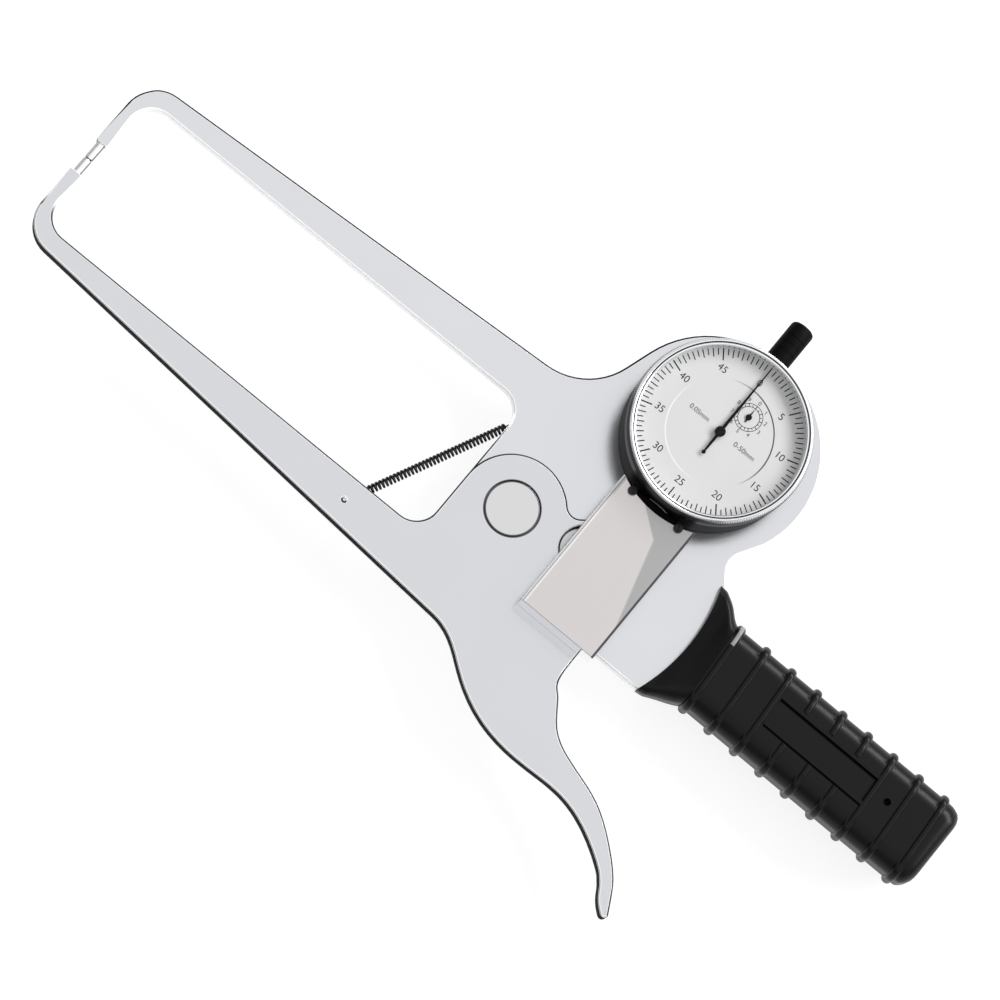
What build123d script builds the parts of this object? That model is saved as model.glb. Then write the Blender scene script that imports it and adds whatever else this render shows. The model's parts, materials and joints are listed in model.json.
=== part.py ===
from build123d import *
import math
import os

# Outside caliper gauge, millimetres. X runs from the jaw tips to the grip, Y from the trigger to the
# dial, Z out of the front. The origin is on the arm pivot, in the back plane of the body plate.

# Lever geometry
reach = 168.0  # pivot to the middle of the contacts
lever_ratio = 5.0  # jaw movement over spindle movement
max_opening = 50.0  # widest gap between the contacts
lever_radius = reach / lever_ratio
swing = 2 * math.degrees(math.asin(max_opening / 2 / reach))

# Plates
body_thickness = 4.5
lap_gap = 0.2  # between the body and the lapped part of the arm
arm_thickness = 7.0
hub_radius = 17.2
seat_gap = 0.02  # between a pin and its hole
lap_bottom = body_thickness + lap_gap

# Arms
tip_width = 4.0
tip_radius = 11.0  # outer corner of each jaw
inner_radius = 8.0  # corners of the throat
end_radius = 0.6  # corners beside the contacts
arm_taper = 0.0694  # slope of the fixed arm's outer edge
arm_root_height = 43.4  # the same edge, carried on to the pivot's column
fixed_inner_height = 28.0
fixed_inner_slope = 0.0115
lever_taper = -0.061
lever_root_depth = -40.9
lever_inner_depth = -23.5
lever_inner_slope = 0.0085

# Contacts
contact_radius = 1.4
contact_length = 6.2  # stands out of the arm's end
contact_seat = 5.0  # sunk in the arm
contact_chamfer = 0.35
contact_gap = 0.02  # between the contacts when closed

# Body round the dial
dial_y = 56.5
round_radius = 34.7
round_shift_x = 1.4
round_shift_y = -0.5
sweep_radius = 21.6  # between the fixed arm and the round
sweep_angle = 163.0  # where that sweep leaves the round
notch_angle = -23.0  # where the notch above the grip leaves the round
notch_point = (60.6, 31.6)
notch_radius = 6.0
body_bottom = -17.9
shoulder_top = (67.9, 22.1)
shoulder_x = 66.5

# Tang and grip
tang_start = 77.0
tang_end = 154.0
tang_half = 10.5
grip_axis_y = 1.5
grip_axis_z = body_thickness / 2
grip_end = 166.0
grip_width = 30.0
grip_depth = 22.0
grip_corner = 6.5
grip_end_radius = 4.5
tang_gap = 0.05
# Sections of the collar: place along X, width, depth, corner radius
collar_stations = ((64.0, 43.0, 11.0, 3.5), (67.0, 42.2, 12.5, 4.0), (72.0, 36.2, 17.0, 5.5))
collar_shift = 1.0  # the collar's front sits higher than the grip's axis
collar_front = 64.4
collar_sag = 3.6  # depth of its concave front edge
collar_chord = 41.0
rib_count = 9
rib_first = 78.4
rib_pitch = 10.03
rib_width = 2.8
rib_height = 1.3
rib_corner = 3.6  # flats across the ribs' corners
rib_edge = 0.7  # slope on both sides of each rib
panel_start = 99.5
panel_length = 40.0
panel_bottom = -1.6
panel_top = 6.8
panel_depth = 0.8
rib_stop = 8.2  # height where the ribs above the panel end
grip_hole = (144.7, 3.1)
grip_hole_radius = 1.2
rear_screw_gaps = (1, 4)  # gaps between ribs that take the rear screws
rear_screw_head = 2.6
rear_screw_shank = 1.4
rear_screw_recess = 2.0
rear_screw_sink = 0.6  # head below the grip's surface
rear_screw_end = 1.25  # past the grip's middle
screw_gap = 0.5  # below a blind hole's end
front_screw_shank = 0.8
front_screw_seat = 4.25  # height of its head's seat above the grip's middle
front_screw_head = 1.4
front_screw_end = 4.75  # below the grip's middle

# Pivot
cap_radius = 8.5
cap_thickness = 1.2
cap_gap = 0.3  # the dark ring round the cap
pivot_radius = 4.0
bush_radius = 6.0
bush_gap = 0.03
nut_radius = 6.9
nut_thickness = 1.6
nut_floor = 0.8
pivot_end_radius = 3.0
spanner_radius = 0.8
spanner_offset = 4.6

# Tail of the lever, stop and lever pin
window_distance = 25.0
window_angle = 9.9
window_radius = 7.1
boss_radius = 9.5
boss_blend = 4.0
tail_edge = 43.7
tail_top = -6.0
tail_corner = 8.0
stop_gap = 0.15
stop_spigot = 2.0
stop_spigot_sink = 0.5
stop_top_gap = 0.2  # the post's top below the arm's face
lever_pin_radius = 2.0
lever_boss_radius = 5.2
lever_pin_top = 14.0

# Trigger, from the hub's lower edge round its tip and back to the body
trigger_back = (
    (12.5, -44.7), (20.4, -50.35), (34.2, -56.95), (50.05, -59.0), (66.1, -58.8), (82.4, -64.2),
    (93.35, -72.7),
)
trigger_tip_back = (98.4, -79.0)
trigger_tip = (100.2, -79.3)
trigger_tip_front = (101.0, -77.8)
trigger_front = (
    (97.5, -71.0), (88.0, -60.9), (76.0, -52.9), (62.0, -48.3), (53.0, -43.2), (47.3, -35.6),
)
trigger_root = (43.7, -24.6)
trigger_start = 2.0

# Tension spring
spring_body_pin = (-14.5, 25.5)
spring_arm_pin = (-41.0, -31.3)
spring_z = 2.1
wire = 0.4  # across the corners of its three-sided section
coil_radius = 1.3  # to the middle of the wire
coil_pitch = 1.24
coil_turns = 39
spring_pin_radius = 0.7
arm_dot_radius = 0.5
pocket_roof = 3.9
pocket_clearance = 0.35
body_pocket_length = 22.0
arm_pocket_length = 14.0
half_turn = 180.0  # the arm's end of the spring points the other way
spring_pin_floor = 0.4  # the pins' lower ends above the back plane
hook_radius = 1.1
hook_bend = 1.6  # length in which the wire leaves the coil for the hook
hook_straight = 0.5

# Dial indicator
spindle_z = 12.0
spindle_radius = 2.0
spindle_gap = 0.04
spindle_past_case = 3.0
stem_radius = 4.0
stem_length = 14.0  # from the case
case_radius = 28.5
case_wall = 1.8
case_back_z = 4.8
back_thickness = 1.2
case_top_z = 18.0
rim_step = 1.1  # the case's rim inside its wall
rim_height = 2.6
rim_width = 1.6
bezel_overhang = 0.5
bezel_gap = 0.1
bezel_top_z = 25.9
bezel_edge = 0.8
bezel_lip = 0.6  # slope down to the glass
bezel_lip_width = 0.5
bezel_wall = 2.0  # round the crystal
glass_seat = 0.6  # width of the ledge under the crystal
glass_z = 24.0
glass_thickness = 1.2
scale_inner = 17.0
disc_gap = 0.3  # between the inner dial and the scale ring
scale_thickness = 0.6
ledge_z = 21.6
collar_radius = 3.6
collar_length = 3.2
collar_gap = 0.1  # between the dust cap and the collar's end
stem_edge = 0.4
cap_outer = 4.0
cap_length = 16.6  # from the case
cap_wall = 1.0
cap_dome = 1.5  # slope round the cap's end
cap_grooves = 3
cap_groove_depth = 0.35
cap_groove_width = 0.8
cap_groove_first = 6.0  # from the case
cap_groove_pitch = 2.6

# Movement
rack_pitch = 0.625
rack_teeth = 22
rack_addendum = 0.18
rack_dedendum = 0.22
pinion_teeth = 16
pinion_width = 2.4
wheel_teeth = 100
centre_teeth = 10
train_distance = 10.19
counter_x = 4.0
wheel_z = 15.1
wheel_thickness = 0.5
tooth_share = 0.38  # of the pitch, less than half so that the teeth run free
arbor_radius = 0.5
arbor_gap = 0.05
plate_z = 14.2
plate_thickness = 0.6
bridge_z = 17.0
bridge_thickness = 0.7
pillar_x = 16.0
pillar_y = 11.0
pillar_radius = 1.5
plate_margin = 2.0
pointer_z = 22.3
pointer_thickness = 0.25
pointer_tip = 24.7
pointer_tail = 8.8
pointer_hub = 1.65
pointer_root = 0.55
tail_bulb = 0.65
counter_z = 21.65
counter_tip = 3.1
counter_hub = 0.95
hairspring_turns = 2
hairspring_start = 1.3
hairspring_pitch = 0.9
hairspring_strip = 0.15
hairspring_height = 0.4
wheel_hub_radius = 1.2
hub_bridge_gap = 0.3  # between the hubs and the bridge
pinion_overhang = 0.2  # centre pinion below its wheel
pinion_height = 1.1
pinion_journal = 1.5  # arbor below the rack pinion
arbor_sink = 0.1  # arbor ends inside the plate
dial_hole_gap = 0.2  # round the arbors in the inner dial
hand_hub_height = 0.7
pointer_half = 0.18  # half its width near the tip
tail_half = 0.3
taper_length = 1.0
counter_half = 0.35
counter_tail = 1.8
counter_tail_half = 0.25
counter_thickness = 0.2
counter_hub_height = 0.4
gear_addendum = 0.8  # in modules
gear_dedendum = 1.1
contact_point_radius = 2.4
contact_point_length = 1.4
contact_neck_radius = 1.2
contact_neck_length = 1.0
guide_pin_radius = 0.8
guide_pin_length = 2.0
guide_pin_down = 16.0  # from the dial's axis

# Stem block and cover
block_width = 24.0
block_depth = 6.2
block_gap = 0.4  # between the block and the case
block_top = 16.5
cover_width = 28.2
cover_top = 17.3
cover_sheet = 0.8
cover_bottom = -22.0
cover_arc_gap = 2.8  # its upper end is an arc this far outside the case
cover_bend = 1.0
cover_left_notch = 22.5
cover_right_notch = 2.0
cover_wall_gap = 0.4  # walls above the arm
cover_slant = 4.0
cover_screw_x = 9.0
cover_screw_in = 1.6  # from the block's upper face
cover_screw_head = 1.5
cover_screw_shank = 1.0
cover_screw_height = 1.1
cover_screw_length = 5.0  # into the block
cover_screw_slot = 0.4
cover_screw_slot_depth = 0.6
cover_screw_room = 0.1  # between its shank and the cover
block_screw_x = 7.5
block_screw_in = 3.1  # from the block's upper face
block_screw_head = 2.2
block_screw_shank = 1.2
block_screw_depth = 8.0
block_screw_sink = 1.4
blind_gap = 0.2  # below a short screw's end
flush_gap = 0.1  # a head below the face that it is sunk in
lap_start = 18.3  # least distance from the pivot to the arm's full thickness
lap_length = 90.0  # past the trigger's root
lap_height = 60.0  # past the arm's upper edge

os.makedirs("parts", exist_ok=True)

dial_x = lever_radius
dial = (dial_x, dial_y)
throat_x = -hub_radius
tip_outer = -reach - tip_width / 2
tip_inner = -reach + tip_width / 2
half_swing = math.radians(swing) / 2
case_low = dial_y - case_radius
case_high = dial_y + case_radius
rim_radius = case_radius - rim_step
bezel_radius = case_radius + bezel_overhang
glass_radius = bezel_radius - bezel_wall
stem_end = case_low - stem_length
collar_end = case_high + collar_length
cap_end = case_high + cap_length
block_end = case_low - block_gap
block_bottom = block_end - block_depth
cover_screw_y = block_end - cover_screw_in
block_screw_y = block_end - block_screw_in
grip_back = grip_axis_z - grip_depth / 2
tang_cover = body_thickness - grip_axis_z + 1  # front face of the tang, and a little more
rear_screw_places = [rib_first + (gap + 0.5) * rib_pitch for gap in rear_screw_gaps]


def save(shape, name):
    export_step(shape, f"parts/{name}.step")


def slab(outline, bottom, top):
    return Pos(0, 0, bottom) * extrude(make_face(outline), top - bottom)


def disc(x, y, radius, bottom, top):
    return Pos(x, y, bottom) * Cylinder(radius, top - bottom, align=(Align.CENTER, Align.CENTER, Align.MIN))


def block(x0, x1, y0, y1, z0, z1):
    corner = (Align.MIN, Align.MIN, Align.MIN)
    return Pos(x0, y0, z0) * Box(x1 - x0, y1 - y0, z1 - z0, align=corner)


def rod_y(x, z, radius, y0, y1):
    along = Plane(origin=(x, y0, z), z_dir=(0, 1, 0))
    return along * Cylinder(radius, y1 - y0, align=(Align.CENTER, Align.CENTER, Align.MIN))


def polar(radius, degrees, centre=(0.0, 0.0)):
    angle = math.radians(degrees)
    return (centre[0] + radius * math.cos(angle), centre[1] + radius * math.sin(angle))


def spun(profile, centre=(0.0, 0.0)):
    # Turns a closed (radius, z) outline about an upright axis.
    face = make_face(Polyline(*[(r, 0, z) for r, z in profile], close=True))
    return Pos(*centre) * revolve(face, Axis.Z)


# Fixed arm, body and tang in one plate
def body_outline():
    centre = (dial_x + round_shift_x, dial_y + round_shift_y)
    start = polar(round_radius, sweep_angle, centre)
    end = polar(round_radius, notch_angle, centre)
    lean = math.tan(math.radians(sweep_angle - 90))
    # The straight below the round meets the arm's outer edge here.
    corner_x = (start[1] - lean * start[0] - arm_root_height) / (arm_taper - lean)
    corner_y = arm_root_height + arm_taper * corner_x
    tang_top = grip_axis_y + tang_half
    tang_bottom = grip_axis_y - tang_half
    left = FilletPolyline(
        (0, body_bottom),
        (throat_x, body_bottom),
        (throat_x, fixed_inner_height + fixed_inner_slope * throat_x),
        (tip_inner, fixed_inner_height + fixed_inner_slope * tip_inner),
        (tip_inner, contact_length),
        (tip_outer, contact_length),
        (tip_outer, arm_root_height + arm_taper * tip_outer),
        (corner_x, corner_y),
        start,
        radius=[hub_radius, inner_radius, inner_radius, end_radius, end_radius, tip_radius, sweep_radius],
    )
    top = ThreePointArc(start, polar(round_radius, (sweep_angle + notch_angle) / 2, centre), end)
    right = FilletPolyline(
        end,
        notch_point,
        shoulder_top,
        (tang_start, tang_top),
        (tang_end, tang_top),
        (tang_end, tang_bottom),
        (tang_start, tang_bottom),
        (shoulder_x, body_bottom),
        (0, body_bottom),
        radius=[notch_radius, 1, 1, 2, 2, 1, 1],
    )
    return Wire(left.edges() + top.edges() + right.edges())


def spring_direction(opening):
    # Angle of the spring, in degrees, in the body's frame, with the arm opened by this many degrees.
    angle = math.radians(opening)
    x, y = spring_arm_pin
    moved = (x * math.cos(angle) - y * math.sin(angle), x * math.sin(angle) + y * math.cos(angle))
    return math.degrees(math.atan2(spring_body_pin[1] - moved[1], spring_body_pin[0] - moved[0]))


def spring_pocket(pin, first, last, length):
    # A fan milled from the back, in which the spring swings about its pin.
    half = coil_radius + wire / 2 + pocket_clearance
    legs = [Rot(0, 0, angle) * Pos(length / 2, 0) * Rectangle(length, 2 * half) for angle in (first, last)]
    wedge = make_face(Polyline((0, 0), polar(length, first), polar(length, last), close=True))
    fan = Circle(half) + legs[0] + legs[1] + wedge
    return Pos(*pin) * extrude(fan, pocket_roof)


def post_place():
    return polar(window_distance, window_angle + swing / 2)


def body_plate():
    plate = slab(body_outline(), 0, body_thickness)
    plate -= disc(0, 0, pivot_radius + seat_gap, 0, body_thickness)
    plate -= disc(0, 0, nut_radius + seat_gap, 0, nut_thickness)
    plate -= disc(*post_place(), stop_spigot + seat_gap, 0, body_thickness)
    closed, opened = spring_direction(0), spring_direction(swing)
    plate -= spring_pocket(spring_body_pin, closed + half_turn, opened + half_turn, body_pocket_length)
    for side in (-1, 1):
        x = dial_x + side * block_screw_x
        plate -= disc(x, block_screw_y, block_screw_shank + seat_gap, 0, body_thickness)
        plate -= disc(x, block_screw_y, block_screw_head + seat_gap, 0, block_screw_sink)
    for x in rear_screw_places:
        plate -= disc(x, grip_axis_y, rear_screw_shank + seat_gap, 0, body_thickness)
    plate -= disc(*grip_hole, front_screw_shank + seat_gap, 0, body_thickness)
    plate -= contact_hole(1)
    return plate


# Contacts
def contact_hole(side):
    z = body_thickness / 2
    y0 = contact_length - 0.5 if side > 0 else -contact_length - contact_seat
    return rod_y(-reach, z, contact_radius + seat_gap, y0, y0 + contact_seat + 0.5)


def contact(side):
    z = body_thickness / 2
    tip = contact_gap / 2
    y0, y1 = (tip, contact_length + contact_seat) if side > 0 else (-contact_length - contact_seat, -tip)
    pin = rod_y(-reach, z, contact_radius, y0, y1)
    ends = pin.edges().filter_by(GeomType.CIRCLE).sort_by(Axis.Y)
    return chamfer(ends[0] if side > 0 else ends[-1], contact_chamfer)


# Lever arm
def arm_outline():
    centre = polar(window_distance, window_angle)
    inner_root = lever_inner_depth + lever_inner_slope * throat_x
    jaw = FilletPolyline(
        (throat_x, 0),
        (throat_x, inner_root),
        (tip_inner, lever_inner_depth + lever_inner_slope * tip_inner),
        (tip_inner, -contact_length),
        (tip_outer, -contact_length),
        (tip_outer, lever_root_depth + lever_taper * tip_outer),
        (trigger_start, lever_root_depth + lever_taper * trigger_start),
        radius=[inner_radius, inner_radius, end_radius, end_radius, tip_radius],
    )
    back_start = (trigger_start, lever_root_depth + lever_taper * trigger_start)
    back = Spline(back_start, *trigger_back, trigger_tip_back, tangents=[(1, lever_taper), (0.8, -0.6)])
    tip = ThreePointArc(trigger_tip_back, trigger_tip, trigger_tip_front)
    front = Spline(trigger_tip_front, *trigger_front, trigger_root, tangents=[(-0.4, 0.9), (0, 1)])
    tail = FilletPolyline(
        trigger_root,
        (tail_edge, tail_top),
        centre,
        (0, 0),
        (throat_x, 0),
        radius=[tail_corner, 0, 0],
    )
    return Wire(jaw.edges() + back.edges() + tip.edges() + front.edges() + tail.edges())


def moving_arm():
    centre = polar(window_distance, window_angle)
    pin = polar(lever_radius, -swing / 2)
    arm = slab(arm_outline(), 0, arm_thickness)
    arm += disc(0, 0, hub_radius, lap_bottom, arm_thickness)
    arm += disc(*centre, boss_radius, lap_bottom, arm_thickness)
    arm += disc(*pin, lever_boss_radius, lap_bottom, arm_thickness)
    arm += hub_blend(centre)
    arm -= lap_recess()
    arm -= disc(0, 0, cap_radius + cap_gap, arm_thickness - cap_thickness, arm_thickness)
    arm -= disc(0, 0, bush_radius, 0, arm_thickness)
    arm -= disc(*centre, window_radius, 0, arm_thickness)
    arm -= disc(*pin, lever_pin_radius, 0, arm_thickness)
    closed, opened = spring_direction(0), spring_direction(swing) - swing
    arm -= spring_pocket(spring_arm_pin, closed, opened, arm_pocket_length)
    arm -= disc(*spring_arm_pin, arm_dot_radius, pocket_roof, arm_thickness)
    arm -= contact_hole(-1)
    return arm


def hub_blend(centre):
    # Web between the hub and the boss, hollowed by an arc that touches both circles.
    far = math.hypot(*centre)
    hub_side = hub_radius + boss_blend
    boss_side = boss_radius + boss_blend
    along = (hub_side ** 2 - boss_side ** 2 + far ** 2) / (2 * far)
    out = math.sqrt(hub_side ** 2 - along ** 2)
    turn = math.atan2(centre[1], centre[0])
    middle = (
        along * math.cos(turn) - out * math.sin(turn),
        along * math.sin(turn) + out * math.cos(turn),
    )
    hub_touch = (middle[0] * hub_radius / hub_side, middle[1] * hub_radius / hub_side)
    boss_touch = (
        centre[0] + (middle[0] - centre[0]) * boss_radius / boss_side,
        centre[1] + (middle[1] - centre[1]) * boss_radius / boss_side,
    )
    outline = Polyline((0, 0), centre, boss_touch, middle, hub_touch, close=True)
    web = slab(outline, lap_bottom, arm_thickness)
    return web - disc(*middle, boss_blend, lap_bottom, arm_thickness)


def lap_recess():
    # The arm is thin wherever it passes over the body: inside a circle, and above a line that comes
    # level with the body's lower edge when the arm is fully open.
    touch = -90 - swing
    first = polar(lap_start, touch)
    along = polar(1.0, touch + 90)
    far = (first[0] + lap_length * along[0], first[1] + lap_length * along[1])
    left, top = -lap_start, lap_height
    edge = Polyline((0, 0), first, far, (far[0], top), (left, top), (left, 0), close=True)
    return slab(edge, 0, lap_bottom) + disc(0, 0, lap_start, 0, lap_bottom)


# Pivot
def pivot_pin():
    cap_bottom = arm_thickness - cap_thickness
    pin = disc(0, 0, cap_radius, cap_bottom, arm_thickness)
    pin += disc(0, 0, pivot_radius, nut_thickness, cap_bottom)
    pin += disc(0, 0, pivot_end_radius, nut_floor + seat_gap, nut_thickness)
    return pin


def pivot_nut():
    nut = disc(0, 0, nut_radius, 0, nut_thickness)
    nut -= disc(0, 0, pivot_end_radius + seat_gap, nut_floor, nut_thickness)
    for side in (-1, 1):
        nut -= disc(side * spanner_offset, 0, spanner_radius, 0, nut_floor)
    return nut


def pivot_bush():
    top = arm_thickness - cap_thickness - bush_gap
    return disc(0, 0, bush_radius, body_thickness + bush_gap, top) - disc(
        0, 0, pivot_radius + bush_gap, body_thickness, top
    )


def stop_post():
    gap = 2 * window_distance * math.sin(half_swing / 2)
    radius = window_radius - gap - stop_gap
    x, y = post_place()
    post = disc(x, y, radius, body_thickness, arm_thickness - stop_top_gap)
    return post + disc(x, y, stop_spigot, stop_spigot_sink, body_thickness)


def lever_pin():
    x, y = polar(lever_radius, -swing / 2)
    return disc(x, y, lever_pin_radius, lap_bottom, lever_pin_top)


# Tension spring and its pins
def body_spring_pin():
    return disc(*spring_body_pin, spring_pin_radius, spring_pin_floor, pocket_roof)


def arm_spring_pin():
    pin = disc(*spring_arm_pin, spring_pin_radius, spring_pin_floor, pocket_roof)
    return pin + disc(*spring_arm_pin, arm_dot_radius, pocket_roof, arm_thickness)


def biarc(start, leave, end, arrive):
    # Two arcs, tangent to each other and to both directions.
    chord = end - start
    total = leave + arrive
    spread = 2 * (1 - leave.dot(arrive))
    along = chord.dot(total)
    if spread < 1e-9:
        reach_out = chord.dot(chord) / (4 * chord.dot(arrive))
    else:
        reach_out = (math.sqrt(along ** 2 + spread * chord.dot(chord)) - along) / spread
    joint = (start + leave * reach_out + end - arrive * reach_out) / 2
    first = Edge.make_tangent_arc(start, leave, joint)
    return [first, Edge.make_tangent_arc(joint, first.tangent_at(1), end)]


def spring_path():
    # Local frame: Z along the spring from the arm's pin to the body's, X out of the plate.
    span = math.dist(spring_body_pin, spring_arm_pin)
    length = coil_pitch * coil_turns
    lower = (span - length) / 2
    hook_in = hook_radius - wire / 2 - spring_pin_radius - seat_gap

    def on_helix(turn):
        angle = 2 * math.pi * turn
        rise = coil_pitch / (2 * math.pi)
        x, y = coil_radius * math.cos(angle), coil_radius * math.sin(angle)
        return Vector(x, y, lower + coil_pitch * turn), Vector(-y, x, rise).normalized()

    def hook(end):
        # Points and headings from the coil to the hook's free end, going outward.
        sign = 1 if end else -1
        loop_z = (span if end else 0.0) + sign * hook_in
        up = Vector(0, 0, sign)
        base = lower + length + hook_bend if end else lower - hook_bend
        return [
            (Vector(0, sign * hook_radius, base), up),
            (Vector(0, sign * hook_radius, loop_z), up),
            (Vector(0, 0, loop_z + sign * hook_radius), Vector(0, -sign, 0)),
            (Vector(0, -sign * hook_radius, loop_z), -up),
        ]

    edges = []
    tail = hook(False)
    straight = tail[3][0] + Vector(0, 0, hook_straight)
    edges.append(Edge.make_line(straight, tail[3][0]))
    edges += biarc(tail[3][0], -tail[3][1], tail[2][0], -tail[2][1])
    edges += biarc(tail[2][0], -tail[2][1], tail[1][0], -tail[1][1])
    edges.append(Edge.make_line(tail[1][0], tail[0][0]))
    edges += biarc(tail[0][0], -tail[0][1], *on_helix(0))
    for half in range(2 * coil_turns):
        edges += biarc(*on_helix(half / 2), *on_helix((half + 1) / 2))
    head = hook(True)
    edges += biarc(*on_helix(coil_turns), *head[0])
    edges.append(Edge.make_line(head[0][0], head[1][0]))
    edges += biarc(*head[1], *head[2])
    edges += biarc(*head[2], *head[3])
    edges.append(Edge.make_line(head[3][0], head[3][0] - Vector(0, 0, hook_straight)))
    return Wire(edges)


def least_gap(path):
    # Least gap between the wire's own turns, measured on points along it.
    count = 24 * coil_turns
    points = [path.position_at(i / count) for i in range(count + 1)]
    step = path.length / count
    apart = int(2.5 * coil_radius / step)
    nearest = min(
        (points[i] - points[j]).length
        for i in range(0, count + 1)
        for j in range(i + apart, min(count + 1, i + 60))
    )
    return nearest - wire


def tension_spring():
    path = spring_path()
    print("spring: least gap between turns", round(least_gap(path), 2), "mm")
    section = Plane(origin=path.position_at(0), z_dir=path.tangent_at(0), x_dir=(1, 0, 0))
    tube = sweep((section * RegularPolygon(wire / 2, 3)).face(), path=path)
    heading = Vector(spring_body_pin[0] - spring_arm_pin[0], spring_body_pin[1] - spring_arm_pin[1])
    return Plane(origin=(*spring_arm_pin, spring_z), z_dir=heading, x_dir=(0, 0, 1)) * tube


# Stem block, cover and their screws
def stem_block():
    half = block_width / 2
    holder = block(dial_x - half, dial_x + half, block_bottom, block_end, body_thickness, block_top)
    holder -= rod_y(dial_x, spindle_z, stem_radius + seat_gap, block_bottom, block_end)
    thread_end = block_top - cover_screw_length - screw_gap
    for side in (-1, 1):
        x = dial_x + side * cover_screw_x
        holder -= disc(x, cover_screw_y, cover_screw_shank, thread_end, block_top)
        x = dial_x + side * block_screw_x
        holder -= disc(x, block_screw_y, block_screw_shank, body_thickness, block_screw_depth)
    return holder


def block_screws():
    screws = []
    for side in (-1, 1):
        x = dial_x + side * block_screw_x
        screw = disc(x, block_screw_y, block_screw_head, flush_gap, block_screw_sink)
        shank_end = block_screw_depth - blind_gap
        screws.append(screw + disc(x, block_screw_y, block_screw_shank, block_screw_sink, shank_end))
    return Compound(screws)


def spindle_cover():
    half = cover_width / 2
    top_y = case_low + cover_arc_gap
    outside = block(dial_x - half, dial_x + half, cover_bottom, top_y, body_thickness, cover_top)
    bends = outside.edges().filter_by(Axis.Y).group_by(Axis.Z)[-1]
    outside = fillet(bends, cover_bend)
    inner = half - cover_sheet
    sheet = outside - block(
        dial_x - inner, dial_x + inner, cover_bottom, top_y, body_thickness, cover_top - cover_sheet
    )
    sheet -= disc(*dial, case_radius + cover_arc_gap, 0, cover_top)
    clear_z = arm_thickness + cover_wall_gap
    sheet -= block(dial_x - half, dial_x, cover_bottom, cover_left_notch, 0, clear_z)
    sheet -= block(dial_x, dial_x + half, cover_bottom, cover_right_notch, 0, clear_z)
    low, high = clear_z, cover_top - cover_bend
    slant = Plane.YZ * make_face(
        Polyline((cover_bottom, low), (cover_bottom + cover_slant, low), (cover_bottom, high), close=True)
    )
    sheet -= extrude(slant, 3 * cover_width, both=True)
    for side in (-1, 1):
        x = dial_x + side * cover_screw_x
        gap = cover_screw_shank + cover_screw_room
        sheet -= disc(x, cover_screw_y, gap, block_top, cover_top)
        sheet -= block(x - gap, x + gap, cover_screw_y, top_y, block_top, cover_top)
    return sheet


def cover_screws():
    screws = []
    y, top = cover_screw_y, cover_top + cover_screw_height
    half = cover_screw_slot / 2
    for side in (-1, 1):
        x = dial_x + side * cover_screw_x
        screw = disc(x, y, cover_screw_head, cover_top, top)
        screw += disc(x, y, cover_screw_shank, block_top - cover_screw_length, cover_top)
        left, right = x - cover_screw_head, x + cover_screw_head
        screw -= block(left, right, y - half, y + half, top - cover_screw_slot_depth, top)
        screws.append(screw)
    return Compound(screws)


# Grip
def grip_section(x, width, depth, corner, shift=0.0):
    plane = Plane(origin=(x, grip_axis_y + shift, grip_axis_z), z_dir=(1, 0, 0), x_dir=(0, 1, 0))
    return plane * RectangleRounded(width, depth, corner)


def round_end(handle, axis):
    # Rounds the far end in one plane at a time, as seen along the axis.
    length = grip_end - rib_first
    width = grip_width if axis == Axis.Z else grip_depth
    middle = Plane.XY.offset(grip_axis_z) if axis == Axis.Z else Plane.XZ.offset(-grip_axis_y)
    centre = grip_axis_y if axis == Axis.Z else grip_axis_z
    bar = RectangleRounded(2 * length, width, grip_end_radius)
    outline = middle * Pos(grip_end - length, centre) * bar
    return handle & extrude(outline, grip_width, both=True)


def rib_section(x, width, depth):
    plane = Plane(origin=(x, grip_axis_y, grip_axis_z), z_dir=(1, 0, 0), x_dir=(0, 1, 0))
    flat = Rectangle(width, depth)
    return plane * chamfer(flat.vertices(), rib_corner)


def grip_solid():
    handle = extrude(grip_section(rib_first, grip_width, grip_depth, grip_corner), grip_end - rib_first)
    for axis in (Axis.Z, Axis.Y):
        handle = round_end(handle, axis)
    sections = [grip_section(*station, collar_shift) for station in collar_stations]
    sections.append(grip_section(rib_first, grip_width, grip_depth, grip_corner))
    collar = loft([section.face() for section in sections])
    radius = (collar_sag ** 2 + (collar_chord / 2) ** 2) / (2 * collar_sag)
    front = collar_front + collar_sag
    bite = disc(front - radius, grip_axis_y + collar_shift, radius, -grip_width, grip_width)
    handle = handle + (collar - bite)
    for i in range(rib_count):
        x = rib_first + i * rib_pitch - rib_width / 2
        grow = 2 * rib_height
        rib = extrude(rib_section(x, grip_width + grow, grip_depth + grow), rib_width)
        handle += chamfer(rib.edges().filter_by(Axis.X, reverse=True), rib_edge)
    front_z = grip_axis_z + grip_depth / 2
    panel_end = panel_start + panel_length
    handle -= block(panel_start, panel_end, panel_bottom, rib_stop, front_z, front_z + 2 * rib_height)
    handle -= block(panel_start, panel_end, panel_bottom, panel_top, front_z - panel_depth, front_z)
    return handle


def tang_pocket():
    grown = offset(make_face(body_outline()), tang_gap, kind=Kind.INTERSECTION)
    return extrude(grown, body_thickness)


def grip_halves():
    whole = grip_solid() - tang_pocket()
    middle = grip_axis_z
    past = grip_width
    rear_end = middle + tang_cover + rear_screw_end + screw_gap
    rear_seat = grip_back + rear_screw_recess
    for x in rear_screw_places:
        whole -= disc(x, grip_axis_y, rear_screw_shank + seat_gap, grip_back - past, rear_end)
        whole -= disc(x, grip_axis_y, rear_screw_head + seat_gap, grip_back - past, rear_seat)
    seat = middle + front_screw_seat
    whole -= disc(*grip_hole, grip_hole_radius, seat, middle + past)
    whole -= disc(*grip_hole, front_screw_shank + seat_gap, middle - front_screw_end - screw_gap, seat)
    half = block(0, grip_end + past, -2 * past, 2 * past, middle, middle + past)
    return whole & half, whole - half


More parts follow.
